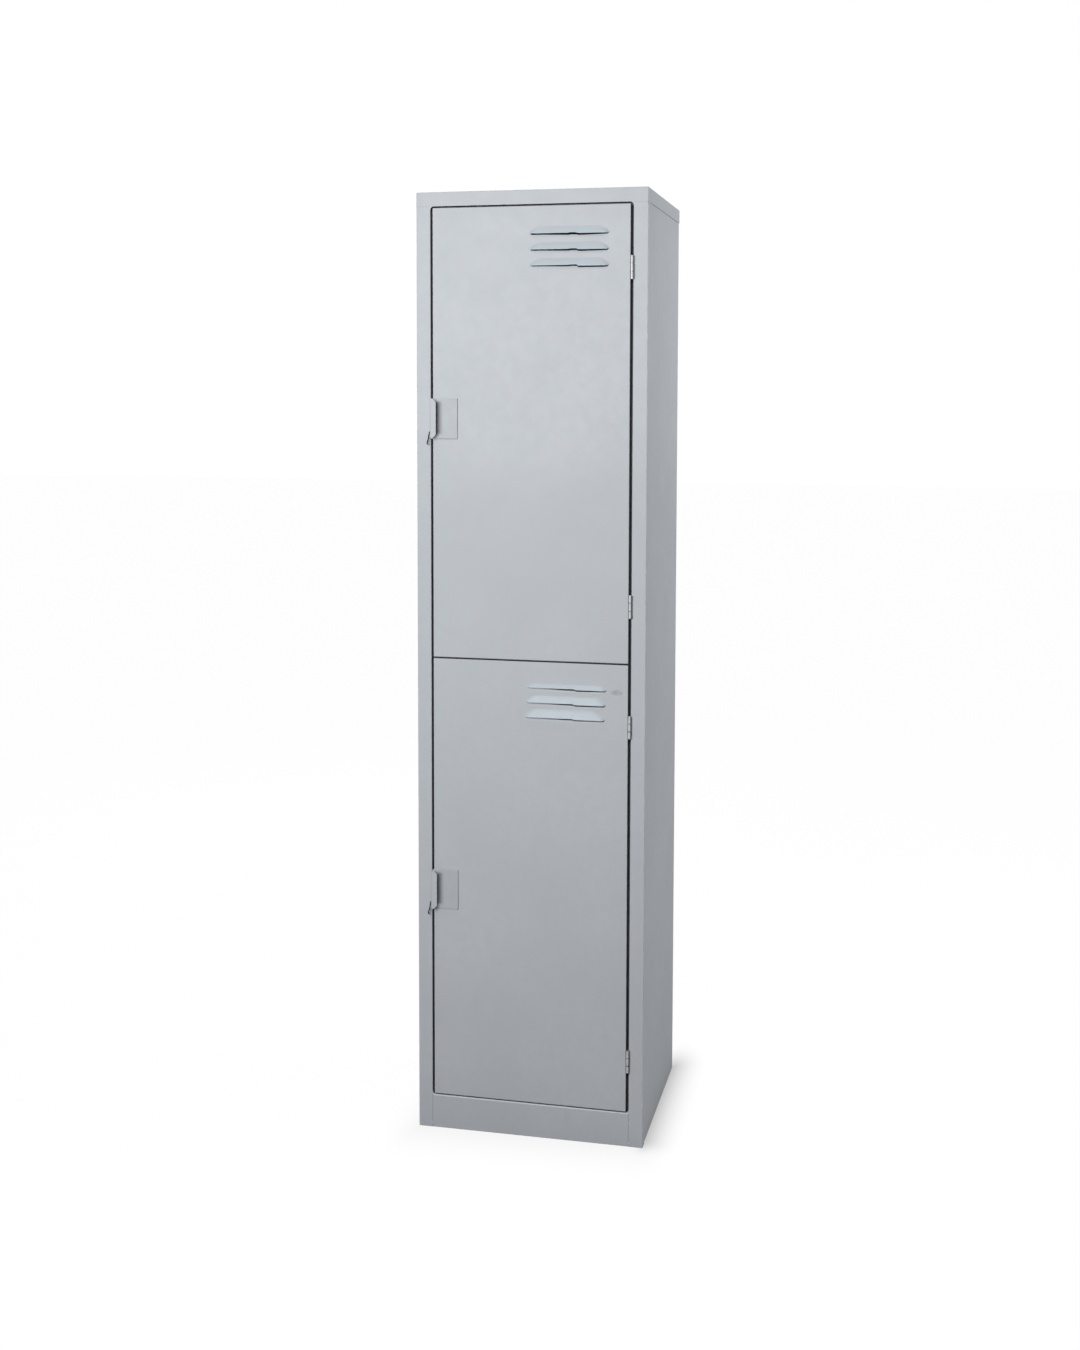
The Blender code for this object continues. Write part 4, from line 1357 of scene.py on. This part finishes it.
def coat_hooks():
    """A double hook with ball tips on a riveted base."""
    base_thickness = 0.002
    wire_radius, ball_radius = 0.0029, 0.0042
    stem, reach = 0.0048, 0.013
    for tier in TIERS:
        node = f"coat_hook_{tier}"
        low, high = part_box(node)
        centre = middle_of(node)
        centre.z = high.z - base_thickness / 2
        outline = rounded_rectangle(0.040, high.y - low.y, 0.006)
        base = plate(f"hook_base_{tier}", outline, base_thickness, Matrix.Translation(centre))
        dress(base, "cabinet", "bright_steel", node)
        heads = []
        for sign in (-1, 1):
            place = centre + Vector((sign * 0.0145, 0, -base_thickness / 2))
            profile = [(0.0, 0.0002), (0.0026, 0.0002)] + [(r, -h) for r, h in domed(0.0026, 0.0011)]
            heads.append(turned("head", profile, place, "Z"))
        dress(joined(f"hook_rivets_{tier}", heads), "cabinet", "bright_steel")
        curl = low.z + wire_radius + reach
        prongs = []
        for sign in (-1, 1):
            points = [(sign * stem, centre.y, centre.z), (sign * stem, centre.y, (centre.z + curl) / 2)]
            for turn in spread(0.0, math.pi, 6):
                out = stem + reach - reach * math.cos(turn)
                points.append((sign * out, centre.y, curl - reach * math.sin(turn)))
            tip = Vector(points[-1]) + Vector((sign * 0.0012, 0, 0.0050))
            points.append(tuple(tip))
            prongs.append(wire("prong", points, wire_radius))
            ball = [(ball_radius * math.sin(a), -ball_radius * math.cos(a)) for a in spread(0, math.pi, 14)]
            ball[0], ball[-1] = (0.0, -ball_radius), (0.0, ball_radius)
            prongs.append(turned("tip", ball, tip + Vector((0, 0, 0.0016)), "Z", 24))
        dress(joined(f"hook_prongs_{tier}", prongs), "cabinet", "bright_steel")


# ---------------------------------------------------------------- stage


def area_light(name, place, aim, size, power):
    data = bpy.data.lights.new(name, "AREA")
    data.shape = "RECTANGLE"
    data.size, data.size_y = size
    data.energy = power
    lamp = bpy.data.objects.new(name, data)
    lamp.location = place
    lamp.rotation_euler = (Vector(aim) - Vector(place)).to_track_quat("-Z", "Y").to_euler()
    lamp.visible_camera = False
    bpy.context.scene.collection.objects.link(lamp)


def studio():
    """A white backdrop that barely lights the cabinet, and a key, overhead, back and fill light."""
    world = bpy.data.worlds.new("studio")
    bpy.context.scene.world = world
    world.use_nodes = True
    nodes, links = world.node_tree.nodes, world.node_tree.links
    nodes.clear()
    seen = nodes.new("ShaderNodeLightPath").outputs["Is Camera Ray"]
    strength = nodes.new("ShaderNodeMix")
    strength.inputs[2].default_value = WORLD_LIGHT
    strength.inputs[3].default_value = 1.0
    links.new(seen, strength.inputs[0])
    background = nodes.new("ShaderNodeBackground")
    background.inputs["Color"].default_value = (1.0, 1.0, 1.0, 1.0)
    links.new(strength.outputs[0], background.inputs["Strength"])
    links.new(background.outputs[0], nodes.new("ShaderNodeOutputWorld").inputs["Surface"])
    for light in LIGHTS:
        area_light(*light)


def floor():
    """A white sweep with a painted contact shadow where it meets the cabinet's foot."""
    bm = bmesh.new()
    bmesh.ops.create_grid(bm, x_segments=2, y_segments=2, size=FLOOR_HALF)
    made = mesh_object("studio_floor", bm)
    made.location.z = -FLOOR_DROP
    material = NodeMaterial("studio_white")
    tone = material.mix(material.remap(material.noise(3.0), 0.3, 0.7), (0.98, 0.98, 0.98), (1.0, 1.0, 1.0))
    seen = material.node("LightPath").outputs["Is Camera Ray"]
    # Painted contact shadow: the floor's glow is darkened near the cabinet's footprint
    squares = []
    for axis, half, stretch in (("X", SIDE, 1.0), ("Y", BACK, CONTACT_STRETCH)):
        outside = material.math("SUBTRACT", material.math("ABSOLUTE", material.axis(axis), 0.0), half)
        beyond = material.math("MULTIPLY", material.math("MAXIMUM", outside, 0.0), stretch)
        squares.append(material.math("POWER", beyond, 2.0))
    gap = material.math("SQRT", material.math("ADD", *squares), 0.0)
    nearness = material.math("SUBTRACT", 1.0, material.math("DIVIDE", gap, CONTACT_REACH))
    contact_shadow = material.math("POWER", material.math("MAXIMUM", nearness, 0.0), 2.0)
    front_depth, side_depth = CONTACT_DEPTH
    share = material.all_of(
        material.remap(material.axis("X"), SIDE - 0.03, SIDE + 0.005),
        material.remap(material.axis("Y"), FRONT - CONTACT_CORNER, FRONT + CONTACT_CORNER),
    )
    depth = material.remap(share, 0.0, 1.0, front_depth, side_depth)
    lit = material.math("SUBTRACT", 1.0, material.math("MULTIPLY", contact_shadow, depth))
    dim = material.mix(lit, (0.0, 0.0, 0.0), tone)
    level = material.remap(seen, 0.0, 1.0, FLOOR_SHADE, FLOOR_SEEN)
    shaded = material.mix(level, (0.0, 0.0, 0.0), dim)
    grain = material.bump(material.noise(400.0, 2.0), 0.0001, 0.1)
    dull = material.remap(material.noise(6.0), 0.3, 0.7, 0.88, 0.94)
    made.data.materials.append(material.finish(shaded, dull, grain))
    material.shader.inputs["Emission Color"].default_value = (1.0, 1.0, 1.0, 1.0)
    glow = material.all_of(lit, FLOOR_GLOW, seen)
    material.link(glow, material.shader.inputs["Emission Strength"])
    material.shader.inputs["Specular IOR Level"].default_value = 0.0


def camera():
    """Eye height, a little to the right of the cabinet and turned back to it."""
    data = bpy.data.cameras.new("camera")
    data.sensor_width = 36.0
    data.lens = CAMERA_LENS
    data.shift_y = CAMERA_SHIFT
    made = bpy.data.objects.new("camera", data)
    bpy.context.scene.collection.objects.link(made)
    turn = Matrix()
    for degrees, axis in CAMERA_TURNS:
        turn = turn @ Matrix.Rotation(math.radians(degrees), 4, axis)
    made.matrix_world = Matrix.Translation(CAMERA_PLACE) @ turn
    bpy.context.scene.camera = made


# ---------------------------------------------------------------- the cabinet

camera()
roof()
stiles()
rails()
dressed_welds()
wide_sheets()
shelves()
door_pans()
stiffeners()
handles()
wire_clips()
hinges()
tongues()
strike_plates()
magnetic_catches()
buffers()
coat_hooks()
floor()
studio()
bpy.context.scene.view_settings.view_transform = "Standard"
